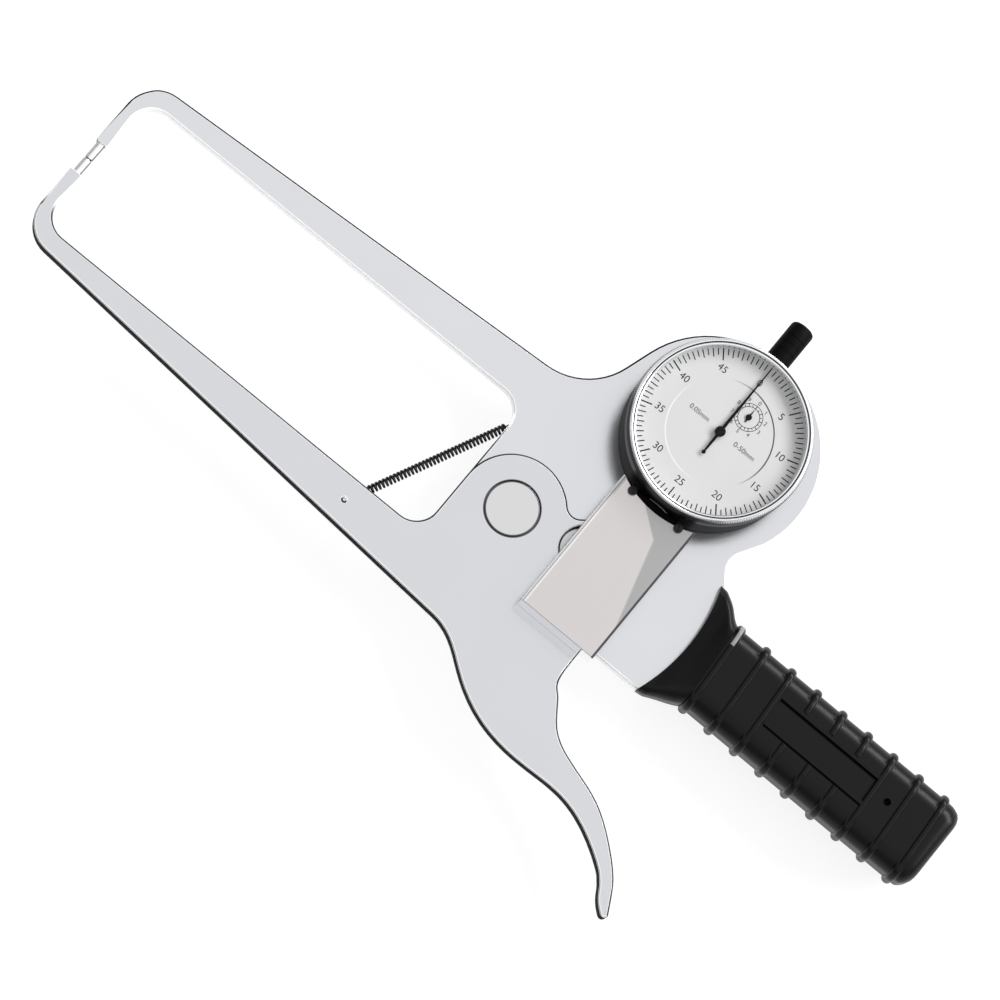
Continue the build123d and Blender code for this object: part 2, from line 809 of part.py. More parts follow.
def grip_screws():
    seat = grip_back + rear_screw_recess
    screws = []
    for x in rear_screw_places:
        screw = disc(x, grip_axis_y, rear_screw_head, grip_back + rear_screw_sink, seat)
        screw += disc(x, grip_axis_y, rear_screw_shank, seat, grip_axis_z + tang_cover + rear_screw_end)
        screws.append(screw)
    seat = grip_axis_z + front_screw_seat
    screw = disc(*grip_hole, grip_hole_radius - seat_gap, seat, seat + front_screw_head)
    screw += disc(*grip_hole, front_screw_shank, grip_axis_z - front_screw_end, seat)
    screws.append(screw)
    return Compound(screws)


# Case of the indicator
def dial_case():
    inside = case_radius - case_wall
    floor = case_back_z + back_thickness
    rim_top = case_top_z + rim_height
    shell = spun(
        [
            (inside, floor),
            (case_radius, floor),
            (case_radius, case_top_z),
            (rim_radius, case_top_z),
            (rim_radius, rim_top),
            (rim_radius - rim_width, rim_top),
            (rim_radius - rim_width, case_top_z),
            (inside, case_top_z - 1),
        ],
        dial,
    )
    shell += rod_y(dial_x, spindle_z, collar_radius, case_high - 1, collar_end) - disc(
        *dial, inside, 0, case_top_z
    )
    shell -= rod_y(dial_x, spindle_z, spindle_radius + spindle_gap, dial_y, collar_end)
    shell -= rod_y(dial_x, spindle_z, stem_radius + seat_gap, case_low - 1, dial_y)
    return shell


def case_back():
    return disc(*dial, case_radius, case_back_z, case_back_z + back_thickness)


def stem():
    top = case_low + case_wall
    tube = rod_y(dial_x, spindle_z, stem_radius, stem_end, top)
    ring = tube.edges().filter_by(GeomType.CIRCLE).sort_by(Axis.Y)[0]
    tube = chamfer(ring, stem_edge)
    return tube - rod_y(dial_x, spindle_z, spindle_radius + spindle_gap, stem_end, top)


def dust_cap():
    start = case_high + 0.2
    shoulder = cap_end - cap_dome
    outline = [(0, cap_end), (cap_outer - cap_dome, cap_end), (cap_outer, shoulder)]
    for i in reversed(range(cap_grooves)):
        y = case_high + cap_groove_first + i * cap_groove_pitch
        outline.append((cap_outer, y + cap_groove_width))
        outline.append((cap_outer - cap_groove_depth, y + cap_groove_width / 2))
        outline.append((cap_outer, y))
    bore = collar_radius + seat_gap
    outline += [(cap_outer, start), (bore, start), (bore, collar_end + collar_gap)]
    inner = cap_outer - cap_wall
    outline += [(inner, collar_end + collar_gap), (inner, shoulder), (0, shoulder)]
    face = make_face(Polyline(*[(r, y, 0) for r, y in outline], close=True))
    return Pos(dial_x, 0, spindle_z) * revolve(face, Axis.Y)


# Turning bezel
def bezel():
    bore = rim_radius + bezel_gap
    bottom = case_top_z + bezel_gap
    seat = glass_radius + seat_gap
    return spun(
        [
            (bore, bottom),
            (bezel_radius, bottom),
            (bezel_radius, bezel_top_z - bezel_edge),
            (bezel_radius - bezel_edge, bezel_top_z),
            (seat + bezel_lip_width, bezel_top_z),
            (seat, bezel_top_z - bezel_lip),
            (seat, glass_z),
            (glass_radius - glass_seat, glass_z),
            (glass_radius - glass_seat, ledge_z),
            (bore, ledge_z),
        ],
        dial,
    )


def crystal():
    return disc(*dial, glass_radius, glass_z, glass_z + glass_thickness)


def scale_ring():
    outer = rim_radius + bezel_gap - seat_gap
    bottom = ledge_z - scale_thickness
    return disc(*dial, outer, bottom, ledge_z) - disc(*dial, scale_inner, bottom, ledge_z)


def inner_dial():
    top = ledge_z
    bottom = top - scale_thickness
    plate = disc(*dial, scale_inner - disc_gap, bottom, top)
    centre, counter = arbor_places()[1:]
    for place_xy in (centre, counter):
        plate -= disc(*place_xy, arbor_radius + dial_hole_gap, bottom, top)
    foot = bridge_z + bridge_thickness
    for side in (-1, 1):
        plate += disc(dial_x + side * pillar_y, dial_y, pillar_radius, foot, bottom)
    return plate


# Movement
def arbor_places():
    pitch_radius = pinion_teeth * rack_pitch / (2 * math.pi)
    line_x = -spindle_radius + rack_addendum
    rack_x = line_x - pitch_radius
    rack_y = -math.sqrt(train_distance ** 2 - rack_x ** 2)
    counter_y = math.sqrt(train_distance ** 2 - counter_x ** 2)
    return (
        (dial_x + rack_x, dial_y + rack_y),
        (dial_x, dial_y),
        (dial_x + counter_x, dial_y + counter_y),
    )


def heading(start, end):
    return math.degrees(math.atan2(end[1] - start[1], end[0] - start[0]))


def toothed(teeth, pitch_radius, addendum, dedendum, first):
    # A gear's outline, with the middle of one tooth at the angle first.
    pitch = 360 / teeth
    points = []
    for i in range(teeth):
        middle = first + i * pitch
        root = tooth_share * pitch * 0.75
        points.append(polar(pitch_radius - dedendum, middle - root))
        points.append(polar(pitch_radius + addendum, middle))
        points.append(polar(pitch_radius - dedendum, middle + root))
    return Polyline(*points, close=True)


def mesh_sizes():
    wheel_pitch = train_distance * wheel_teeth / (wheel_teeth + centre_teeth)
    centre_pitch = train_distance - wheel_pitch
    module = 2 * wheel_pitch / wheel_teeth
    return wheel_pitch, centre_pitch, gear_addendum * module, gear_dedendum * module


def centre_phase():
    rack, centre, counter = arbor_places()
    return heading(centre, rack) + 180 / centre_teeth


def counter_phase():
    # The take-up wheel's tooth lies where the centre pinion leaves it room.
    rack, centre, counter = arbor_places()
    pinion_step = 360 / centre_teeth
    past = ((heading(centre, counter) - centre_phase()) / pinion_step) % 1
    return heading(counter, centre) - (0.5 - past) * 360 / wheel_teeth


def wheel(at, first):
    wheel_pitch, centre_pitch, addendum, dedendum = mesh_sizes()
    outline = toothed(wheel_teeth, wheel_pitch, addendum, dedendum, first)
    ring = Pos(*at) * slab(outline, wheel_z, wheel_z + wheel_thickness)
    hole = disc(*at, arbor_radius, wheel_z, wheel_z + wheel_thickness)
    return ring - hole


def wheel_hub(at):
    return disc(*at, wheel_hub_radius, wheel_z + wheel_thickness, bridge_z - hub_bridge_gap)


def rack_pinion():
    at = arbor_places()[0]
    pitch_radius = pinion_teeth * rack_pitch / (2 * math.pi)
    low = spindle_z - pinion_width / 2
    outline = toothed(pinion_teeth, pitch_radius, rack_addendum, rack_dedendum, 0.0)
    pinion = Pos(*at) * slab(outline, low, low + pinion_width)
    pinion += disc(*at, arbor_radius, low - pinion_journal, bridge_z + bridge_thickness)
    return pinion + wheel_hub(at)


def drive_wheel():
    rack, centre, counter = arbor_places()
    return wheel(rack, heading(rack, centre))


def centre_pinion():
    at = arbor_places()[1]
    wheel_pitch, centre_pitch, addendum, dedendum = mesh_sizes()
    outline = toothed(centre_teeth, centre_pitch, addendum, dedendum, centre_phase())
    low = wheel_z - pinion_overhang
    pinion = Pos(*at) * slab(outline, low, low + pinion_height)
    return pinion + disc(*at, arbor_radius, plate_z + arbor_sink, pointer_z + pointer_thickness)


def pointer():
    at = arbor_places()[1]
    shoulder, tail = pointer_tip - taper_length, taper_length - pointer_tail
    blade = Polyline(
        (-pointer_root, 0),
        (-pointer_half, shoulder),
        (0, pointer_tip),
        (pointer_half, shoulder),
        (pointer_root, 0),
        (tail_half, tail),
        (-tail_half, tail),
        close=True,
    )
    top = pointer_z + pointer_thickness
    hand = Pos(*at) * slab(blade, pointer_z, top)
    hand += disc(*at, pointer_hub, pointer_z, pointer_z + hand_hub_height)
    hand += disc(at[0], at[1] - pointer_tail + tail_bulb, tail_bulb, pointer_z, top)
    return hand - disc(*at, arbor_radius, pointer_z, top)


def takeup_arbor():
    at = arbor_places()[2]
    arbor = disc(*at, arbor_radius, plate_z + arbor_sink, counter_z + counter_thickness)
    return arbor + wheel_hub(at)


def takeup_wheel():
    return wheel(arbor_places()[2], counter_phase())


def counter_pointer():
    at = arbor_places()[2]
    blade = Polyline(
        (-counter_half, 0),
        (0, counter_tip),
        (counter_half, 0),
        (counter_tail_half, -counter_tail),
        (-counter_tail_half, -counter_tail),
        close=True,
    )
    top = counter_z + counter_thickness
    hand = Pos(*at) * slab(blade, counter_z, top)
    hand += disc(*at, counter_hub, counter_z, counter_z + counter_hub_height)
    return hand - disc(*at, arbor_radius, counter_z, top)


def hairspring():
    # A flat spiral of half circles, each a little wider than the last.
    at = arbor_places()[2]
    inner, outer = [], []
    left, right = -hairspring_start, hairspring_start
    for half in range(2 * hairspring_turns):
        for line, shift in ((inner, 0.0), (outer, hairspring_strip)):
            ends_x = (right + shift, left - shift)
            start_x, end_x = ends_x if half % 2 == 0 else reversed(ends_x)
            rise = (start_x - end_x) / 2
            line.append(ThreePointArc((start_x, 0), ((start_x + end_x) / 2, rise), (end_x, 0)))
        if half % 2 == 0:
            right += hairspring_pitch
        else:
            left -= hairspring_pitch
    ends = [Line(inner[0] @ 0, outer[0] @ 0), Line(inner[-1] @ 1, outer[-1] @ 1)]
    strip = make_face(Wire([edge for line in inner + outer + ends for edge in line.edges()]))
    bottom = bridge_z - hub_bridge_gap - hairspring_height
    return Pos(*at, bottom) * extrude(strip, hairspring_height)


def train_plate(bottom, thickness):
    width = 2 * (pillar_x + plate_margin)
    height = 2 * (pillar_y + plate_margin)
    outline = Pos(*dial, bottom) * extrude(Rectangle(width, height), thickness)
    for at in arbor_places():
        outline -= disc(*at, arbor_radius + arbor_gap, bottom, bottom + thickness)
    return outline


def movement_plate():
    return train_plate(plate_z, plate_thickness)


def movement_bridge():
    return train_plate(bridge_z, bridge_thickness)


def movement_pillars():
    floor = case_back_z + back_thickness
    posts = []
    hexagon = RegularPolygon(pillar_radius, 6)
    for x in (-pillar_x, pillar_x):
        for y in (-pillar_y, pillar_y):
            for bottom, top in ((floor, plate_z), (plate_z + plate_thickness, bridge_z)):
                posts.append(Pos(dial_x + x, dial_y + y, bottom) * extrude(hexagon, top - bottom))
    return Compound(posts)


def spindle():
    bottom = contact_face() + contact_point_length + contact_neck_length
    top = case_high + spindle_past_case
    rod = rod_y(dial_x, spindle_z, spindle_radius, bottom, top)
    rack = arbor_places()[0]
    line_x = dial_x - spindle_radius + rack_addendum
    depth = rack_addendum + rack_dedendum
    half_tip = rack_pitch * (1 - tooth_share * 0.5) / 2
    half_root = rack_pitch * (1 - tooth_share * 1.5) / 2
    # The groove that meets the pinion's tooth at rest is the middle of the last pair.
    for i in range(rack_teeth):
        y = rack[1] + (2 - i) * rack_pitch
        groove = Polyline(
            (line_x - rack_addendum - 0.3, y - half_tip - 0.1),
            (line_x - rack_addendum, y - half_tip),
            (line_x + rack_dedendum, y - half_root),
            (line_x + rack_dedendum, y + half_root),
            (line_x - rack_addendum, y + half_tip),
            (line_x - rack_addendum - 0.3, y + half_tip + 0.1),
            close=True,
        )
        rod -= slab(groove, spindle_z - spindle_radius, spindle_z + spindle_radius)
    return rod


def contact_face():
    return lever_radius * math.sin(-half_swing) + lever_pin_radius + contact_gap


def contact_point():
    low = contact_face()
    neck = low + contact_point_length
    tip = rod_y(dial_x, spindle_z, contact_point_radius, low, neck)
    return tip + rod_y(dial_x, spindle_z, contact_neck_radius, neck, neck + contact_neck_length)


def guide_pin():
    top = spindle_z - spindle_radius
    return disc(dial_x, dial_y - guide_pin_down, guide_pin_radius, top - guide_pin_length, top)


def main():
    front, rear = grip_halves()
    pieces = {
        "body_plate": body_plate(),
        "fixed_contact": contact(1),
        "moving_arm": moving_arm(),
        "moving_contact": contact(-1),
        "pivot_pin": pivot_pin(),
        "pivot_nut": pivot_nut(),
        "pivot_bush": pivot_bush(),
        "stop_post": stop_post(),
        "lever_pin": lever_pin(),
        "body_spring_pin": body_spring_pin(),
        "arm_spring_pin": arm_spring_pin(),
        "tension_spring": tension_spring(),
        "stem_block": stem_block(),
        "block_screws": block_screws(),
        "spindle_cover": spindle_cover(),
        "cover_screws": cover_screws(),
        "grip_front": front,
        "grip_rear": rear,
        "grip_screws": grip_screws(),
        "dial_case": dial_case(),
        "case_back": case_back(),
        "stem": stem(),
        "dust_cap": dust_cap(),
        "bezel": bezel(),
        "crystal": crystal(),
        "scale_ring": scale_ring(),
        "inner_dial": inner_dial(),
        "movement_plate": movement_plate(),
        "movement_bridge": movement_bridge(),
        "movement_pillars": movement_pillars(),
        "spindle": spindle(),
        "contact_point": contact_point(),
        "guide_pin": guide_pin(),
        "rack_pinion": rack_pinion(),
        "drive_wheel": drive_wheel(),
        "centre_pinion": centre_pinion(),
        "pointer": pointer(),
        "takeup_arbor": takeup_arbor(),
        "takeup_wheel": takeup_wheel(),
        "hairspring": hairspring(),
        "counter_pointer": counter_pointer(),
    }
    for name, piece in pieces.items():
        save(piece, name)


main()
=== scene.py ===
# %% [markdown]
# # An outside caliper gauge, dressed in Blender
#
# The gauge measures the wall or the outside of a workpiece that lies between its two contacts. The lower
# arm is a lever: a finger pulls its trigger, the jaws open, and its short end pushes the spindle of a dial
# indicator. The shapes come packed from the CAD model. This script keeps their size and place, and adds
# what a solid model leaves out: rounded edges, print, wire, knurling and finishes.

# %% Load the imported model
import json
import math
import bmesh
import bpy
from mathutils import Matrix, Vector

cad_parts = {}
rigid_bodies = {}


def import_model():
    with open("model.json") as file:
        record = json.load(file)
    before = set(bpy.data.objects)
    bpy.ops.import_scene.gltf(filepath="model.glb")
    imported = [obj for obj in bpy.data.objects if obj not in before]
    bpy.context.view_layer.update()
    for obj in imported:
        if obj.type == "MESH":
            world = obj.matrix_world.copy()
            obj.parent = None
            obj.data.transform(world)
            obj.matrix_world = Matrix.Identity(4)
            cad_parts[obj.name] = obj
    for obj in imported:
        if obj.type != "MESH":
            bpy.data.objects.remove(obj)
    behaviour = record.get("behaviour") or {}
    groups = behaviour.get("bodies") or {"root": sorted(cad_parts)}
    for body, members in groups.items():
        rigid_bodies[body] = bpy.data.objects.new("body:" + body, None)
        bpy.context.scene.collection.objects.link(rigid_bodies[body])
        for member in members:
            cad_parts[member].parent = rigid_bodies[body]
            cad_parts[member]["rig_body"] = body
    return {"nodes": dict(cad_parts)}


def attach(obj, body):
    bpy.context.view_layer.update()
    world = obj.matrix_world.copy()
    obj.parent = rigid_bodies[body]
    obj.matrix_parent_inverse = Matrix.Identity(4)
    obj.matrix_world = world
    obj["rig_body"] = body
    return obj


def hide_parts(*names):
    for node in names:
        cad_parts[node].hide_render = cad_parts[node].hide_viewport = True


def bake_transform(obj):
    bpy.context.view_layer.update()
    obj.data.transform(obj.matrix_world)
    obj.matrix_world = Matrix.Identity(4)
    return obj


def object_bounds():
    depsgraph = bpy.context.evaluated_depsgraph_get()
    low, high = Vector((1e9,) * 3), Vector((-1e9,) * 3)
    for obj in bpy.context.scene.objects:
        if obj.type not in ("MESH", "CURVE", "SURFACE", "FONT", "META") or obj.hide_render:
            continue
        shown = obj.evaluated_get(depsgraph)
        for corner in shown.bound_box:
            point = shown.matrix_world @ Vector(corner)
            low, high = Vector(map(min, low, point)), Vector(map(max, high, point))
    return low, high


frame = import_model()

MM = 0.001
cad_low, cad_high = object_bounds()
print("CAD box, mm:", [round((b - a) / MM, 1) for a, b in zip(cad_low, cad_high)])

# %% [markdown]
# ## The camera
#
# The photograph looks almost straight down on the gauge, from a little below it, so that the dial's lower
# rim and the lower sides of the arms show. The gauge lies diagonally across the picture. A long lens from
# far away keeps parallel edges parallel, as they are there. The camera is turned with three vectors: where
# it looks from, and which way is right and up in the picture.

# %% Camera
tilt = math.radians(12.5)
roll = math.radians(39.8)
picture_width = 305.0 * MM
distance = 1.75
aim = Vector((-4.57, -0.44, 7.0)) * MM

back = Vector((0, -math.sin(tilt), math.cos(tilt)))
along = Vector((1, 0, 0))
across = Vector((0, math.cos(tilt), math.sin(tilt)))
right = along * math.cos(roll) + across * math.sin(roll)
up = across * math.cos(roll) - along * math.sin(roll)

camera = bpy.data.objects.new("camera", bpy.data.cameras.new("camera"))
camera.matrix_world = Matrix((
    (right.x, up.x, back.x, aim.x + back.x * distance),
    (right.y, up.y, back.y, aim.y + back.y * distance),
    (right.z, up.z, back.z, aim.z + back.z * distance),
    (0, 0, 0, 1),
))
camera.data.lens = camera.data.sensor_width * distance / picture_width
camera.data.clip_start, camera.data.clip_end = 0.1, 30
bpy.context.scene.collection.objects.link(camera)
bpy.context.scene.camera = camera
print("lens, mm:", round(camera.data.lens))

# %% [markdown]
# ## Nodes as sums
#
# Every surface here gets a finish built from nodes, so that grain and wear are worked out on the surface
# and no picture is needed. Nodes are easier to read as sums. `Field` wraps a number that varies over a
# surface, and lets Python's own signs add the Math nodes.

# %% Shader maths
class Field:
    def __init__(self, finish, socket):
        self.finish, self.socket = finish, socket

    def _math(self, operation, *values):
        return self.finish.node("Math", {"operation": operation}, dict(enumerate(values)))

    def __add__(self, other):
        return self._math("ADD", self, other)

    def __radd__(self, other):
        return self._math("ADD", other, self)

    def __sub__(self, other):
        return self._math("SUBTRACT", self, other)

    def __rsub__(self, other):
        return self._math("SUBTRACT", other, self)

    def __mul__(self, other):
        return self._math("MULTIPLY", self, other)

    def __rmul__(self, other):
        return self._math("MULTIPLY", other, self)

    def __truediv__(self, other):
        return self._math("DIVIDE", self, other)

    def __gt__(self, other):
        return self._math("GREATER_THAN", self, other)

    def __lt__(self, other):
        return self._math("LESS_THAN", self, other)

    def __abs__(self):
        return self._math("ABSOLUTE", self)

    def __pow__(self, other):
        return self._math("POWER", self, other)

    def fade(self, low, high):
        # 0 up to low, 1 from high, and a smooth rise between.
        ends = {"Value": self, "From Min": low, "From Max": high}
        return self.finish.node("MapRange", {"interpolation_type": "SMOOTHSTEP"}, ends)


print("sums of fields are ready")

# %% [markdown]
# ## One material, node by node
#
# A finish starts from Blender's Principled shader. `feed` gives one of its inputs a plain value or a link,
# and `node` adds any other node: its settings first, then the values or links of its sockets. The methods
# below them are what the finishes of this gauge share: the place on the surface in millimetres, the way it
# faces, noise for grain, a blend of two colours, and a bump.

# %% A finish
class Finish:
    def __init__(self, name, color, roughness=0.5, metallic=0.0, **constants):
        self.material = bpy.data.materials.new(name)
        self.material.use_nodes = True
        self.tree = self.material.node_tree
        self.shader = self.tree.nodes["Principled BSDF"]
        self.feed("Base Color", color)
        self.feed("Roughness", roughness)
        self.feed("Metallic", metallic)
        for socket, value in constants.items():
            self.feed(socket.replace("_", " "), value)

    def link(self, socket, value):
        if isinstance(value, Field):
            self.tree.links.new(value.socket, socket)
        else:
            socket.default_value = value

    def feed(self, socket, value):
        self.link(self.shader.inputs[socket], value)

    def node(self, kind, settings=None, values=None, output=0):
        made = self.tree.nodes.new("ShaderNode" + kind)
        for name, setting in (settings or {}).items():
            setattr(made, name, setting)
        for socket, value in (values or {}).items():
            self.link(made.inputs[socket], value)
        return Field(self, made.outputs[output])

    def place(self):
        return self.node("TexCoord", output="Object")

    def split(self, vector):
        return [self.node("SeparateXYZ", values={0: vector}, output=axis) for axis in "XYZ"]

    def at(self):
        # The point on the surface, in millimetres, as three fields.
        return [axis / MM for axis in self.split(self.place())]

    def normal(self):
        return self.split(self.node("NewGeometry", output="Normal"))

    def radius(self, x, y):
        # Distance from a line that stands on the plate at x, y.
        here = self.at()
        return ((here[0] - x) ** 2 + (here[1] - y) ** 2) ** 0.5

    def either(self, first, second):
        return self._larger("MAXIMUM", first, second)

    def both(self, first, second):
        return self._larger("MINIMUM", first, second)

    def _larger(self, operation, first, second):
        return self.node("Math", {"operation": operation}, {0: first, 1: second})

    def noise(self, scale, detail=2.0, stretch=(1, 1, 1)):
        # Noise with this many grains to a metre, wider along an axis whose stretch is small.
        spread = self.node("Mapping", values={"Vector": self.place(), "Scale": stretch})
        return self.node("TexNoise", values={"Vector": spread, "Scale": scale, "Detail": detail})

    def blend(self, share, first, second):
        colors = {0: share, 6: first, 7: second}
        return self.node("Mix", {"data_type": "RGBA"}, colors, output=2)

    def bump(self, height, depth):
        # Depth is in millimetres for a height that goes from 0 to 1.
        values = {"Height": height, "Distance": depth * MM, "Strength": 1.0}
        self.feed("Normal", self.node("Bump", values=values))


def rgb(red, green, blue):
    # A colour as a picture program gives it, from 0 to 255, as the linear values that nodes use.
    parts = [value / 255 for value in (red, green, blue)]
    return tuple(p / 12.92 if p < 0.04045 else ((p + 0.055) / 1.055) ** 2.4 for p in parts) + (1,)


print("a steel grey as linear values:", [round(part, 3) for part in rgb(217, 216, 217)])

# %% [markdown]
# ## Satin metal for the plates
#
# The body and the lever are cut from plate and finished in a pale satin. From above they show one even
# tone. Their edges were broken with a file, which left a narrow rounded band; that band is painted brighter
# than the faces, a painted highlight, and the sawn walls below it are painted black, a painted shade. The
# upward part of the surface normal tells the three apart: near 1 on a face, less on the rounded band, 0 on
# a wall. On the lever, the painted shade is black on walls that face the trigger's side and grey on the
# others. Each plate also has walls that were ground bright and carry no painted shade: the lever's tip, and
# all of the body's but the outer wall of its arm, its tip and the throat's end. A function for each plate
# says where its painted dark walls are, and another adds painted shade to its face.

# %% Plate finishes
# Painted shade for the plates' walls and recesses, and a painted highlight for their edge band.
painted_grey_wall_shade, full_black = rgb(58, 59, 61), rgb(10, 10, 12)
painted_edge_highlight, ground_bright = rgb(244, 245, 247), rgb(252, 252, 253)
painted_recess_shade, painted_window_shade = rgb(104, 105, 107), rgb(200, 201, 202)
arm_rise, arm_middle = 0.0405, 35.7  # the fixed arm's middle line: y over x, and y at the pivot
arm_root = 14.0  # where the arm runs into the round of the dial
window_centre, window_edge = (24.63, 4.30), (7.2, 7.6)
cap_edge, recess_edge = (8.05, 8.18), (9.02, 9.15)


def plate_finish(name, tone, dark_side, marks, far_black=painted_grey_wall_shade):
    finish = Finish(name, tone, Specular_IOR_Level=0.02)
    north, upward = finish.normal()[1:]
    far = north.fade(-0.15, 0.1)
    band = 1 - upward.fade(0.985, 0.9995)
    dark = dark_side(finish)
    # A painted dark wall that faces the trigger's side starts lower, so the painted highlight band above it
    # is wider.
    limit = 0.96 - 0.41 * dark * (1 - far)
    wall = 1 - (abs(upward) - limit).fade(-0.02, 0.02)
    slope = abs(upward).fade(0.35, 0.5)
    mottle = finish.noise(35, 3.0)
    grain = finish.noise(5000, 2.0)
    dull = tuple(value * 0.97 for value in tone[:3]) + (1,)
    face = finish.blend(mottle, dull, tone)
    # Painted highlight on the rounded edge band.
    face = marks(finish, finish.blend(band, face, painted_edge_highlight))
    # Painted shade on the walls: black, or grey where a wall faces away from the trigger's side.
    side = finish.blend(dark, ground_bright, finish.blend(far, full_black, far_black))
    finish.feed("Base Color", finish.blend(wall, face, side))
    finish.feed("Metallic", 1 - wall * finish.either(dark, slope))
    finish.feed("Roughness", 0.15 + 0.04 * mottle + 0.03 * grain + 0.4 * wall)
    finish.bump(grain, 0.001)
    return finish.material


def lever_walls(finish):
    # Painted shade on the walls but for the tip beyond x = -140, which carries the contact, and for the
    # lowest 2 mm, which stay bright metal.
    x, y, z = finish.at()
    return (1 - y.fade(-21.5, -16) * (x < -140)) * z.fade(1.7, 2.0)


def outer_walls(finish):
    # Painted shade above the fixed arm's middle line as far as the dial, at the tip beyond x = -150, and at
    # the throat's end beside the lever, below y = 22.
    x, y = finish.at()[:2]
    east = finish.normal()[0]
    outer = (y > x * arm_rise + arm_middle) * (1 - x.fade(arm_root, arm_root + 12))
    tip = (east < -0.1) * (x < -150)
    end = (east < -0.3) * (1 - y.fade(21.5, 23.5)) * (x < 10)
    return finish.either(finish.either(outer, tip), end)


def add_window_shade(finish, face):
    # Painted shade on the body where it is seen through the lever's window.
    inside = 1 - finish.radius(*window_centre).fade(*window_edge)
    return finish.blend(inside, face, painted_window_shade)


def pivot_ring(finish, face):
    # Painted shade on the lever where the pivot's cap is let in, in the gap round the cap.
    ring = 1 - finish.radius(0, 0).fade(*recess_edge)
    return finish.blend(ring, face, painted_recess_shade)


body_metal = plate_finish("body_satin", rgb(221, 222, 226), outer_walls, add_window_shade, full_black)
lever_metal = plate_finish("lever_satin", rgb(216, 217, 221), lever_walls, pivot_ring)
print("plate finishes:", body_metal.name, lever_metal.name)

# %% [markdown]
# ## Steel and enamel
#
# The small parts are steel, some bright and some blackened in hot oil, and the case and the dust cap are
# black enamel. What tells them apart, beside their colour, is the grain: fine on a turned pin, only slow
# waves on enamel. So one function makes them all from a tone, a roughness and a grain. The ground contacts
# and the pivot's cap have a second tone, a painted shade, and a function each.

# %% Grained finishes
def grained(name, tone, roughness, metallic=0.0, scale=4000, depth=0.002, stretch=(1, 1, 1), **more):
    finish = Finish(name, tone, metallic=metallic, **more)
    grain = finish.noise(scale, 2.0, stretch)
    patch = finish.noise(60, 3.0)
    dull = tuple(value * 0.9 for value in tone[:3]) + (1,)
    finish.feed("Base Color", finish.blend(patch, dull, tone))
    finish.feed("Roughness", roughness + 0.08 * (grain - 0.5) + 0.05 * (patch - 0.5))
    finish.bump(grain, depth)
    return finish.material


def ground_steel(name, tone, dark):
    # Bright on top, with painted shade where the surface turns away from the light.
    finish = Finish(name, tone, metallic=1.0)
    lines = finish.noise(2500, 2.0, (0.05, 1, 1))
    side = 1 - finish.normal()[2].fade(0.35, 0.8)
    finish.feed("Base Color", finish.blend(side, tone, dark))
    finish.feed("Roughness", 0.26 + 0.12 * lines)
    finish.bump(lines, 0.001)
    return finish.material


def cap_finish():
    # The pivot's cap, with painted shade along its edge like the recess that it sits in.
    tone = rgb(217, 216, 217)
    finish = Finish("pivot_cap_steel", tone, metallic=1.0)
    lines = finish.noise(2500, 2.0, (0.05, 1, 1))
    ring = finish.radius(0, 0).fade(*cap_edge)
    finish.feed("Base Color", finish.blend(ring, tone, painted_recess_shade))
    finish.feed("Roughness", 0.18 + 0.06 * lines)
    finish.bump(lines, 0.0006)
    return finish.material


steel = grained("turned_steel", rgb(217, 216, 217), 0.3, 1.0, depth=0.001)
bright_steel = grained("bright_steel", rgb(252, 252, 253), 0.2, 1.0, depth=0.001)
contact_steel = ground_steel("hardened_contact", rgb(240, 241, 243), rgb(84, 85, 88))
spring_black = grained("spring_wire", rgb(22, 22, 23), 0.35, 0.6, scale=2500, depth=0.001)
black_steel = grained("blackened_steel", rgb(24, 24, 26), 0.38, 0.5, depth=0.0015)
enamel = grained("black_enamel", rgb(10, 10, 11), 0.5, 0.0, scale=300, depth=0.003, Specular_IOR_Level=0.04)
pivot_cap = cap_finish()
dial_paint = grained("dial_paint", rgb(196, 196, 196), 0.6, scale=900, depth=0.001)
matt = {"scale": 3000, "depth": 0.001, "Specular_IOR_Level": 0.05}
print_black = grained("printing_ink", rgb(22, 22, 24), 0.7, **matt)
hand_black = grained("hand_lacquer", rgb(8, 8, 9), 0.5, **matt)
brass = grained("movement_brass", rgb(206, 178, 112), 0.32, 1.0, stretch=(1, 0.1, 1), depth=0.001)
stop_steel = grained("stop_steel", rgb(226, 227, 227), 0.35, 1.0, depth=0.001)
print("finishes so far:", len(bpy.data.materials))

# %% [markdown]
# ## The sheet cover and the glass
#
# The cover over the spindle is folded from sheet, and its tone is a little warmer. The bends run along Y,
# so each of them is a band in X that starts where the flat top ends: painted shade on the right, and three
# tones of painted highlight and shade on the left. A corner of the top is painted duller, a painted
# reflection, in a wedge between two straight lines. The dial's glass is almost clear: only its gloss tells
# that it is there, and Alpha lets the rest through.

# %% Cover and glass
cover_tone, cover_painted_reflection = rgb(208, 203, 203), rgb(171, 170, 170)
right_bend, left_bend = 46.9, 20.9
wedge_lines = ((39.1, 18.3, 0.2774), (30.6, 24.8, 1.3))  # a point's x and y, and the slope
left_bend_highlight_and_shade = ((left_bend, rgb(206, 204, 204)), (20.4, rgb(160, 160, 162)), (19.95, rgb(245, 245, 246)))


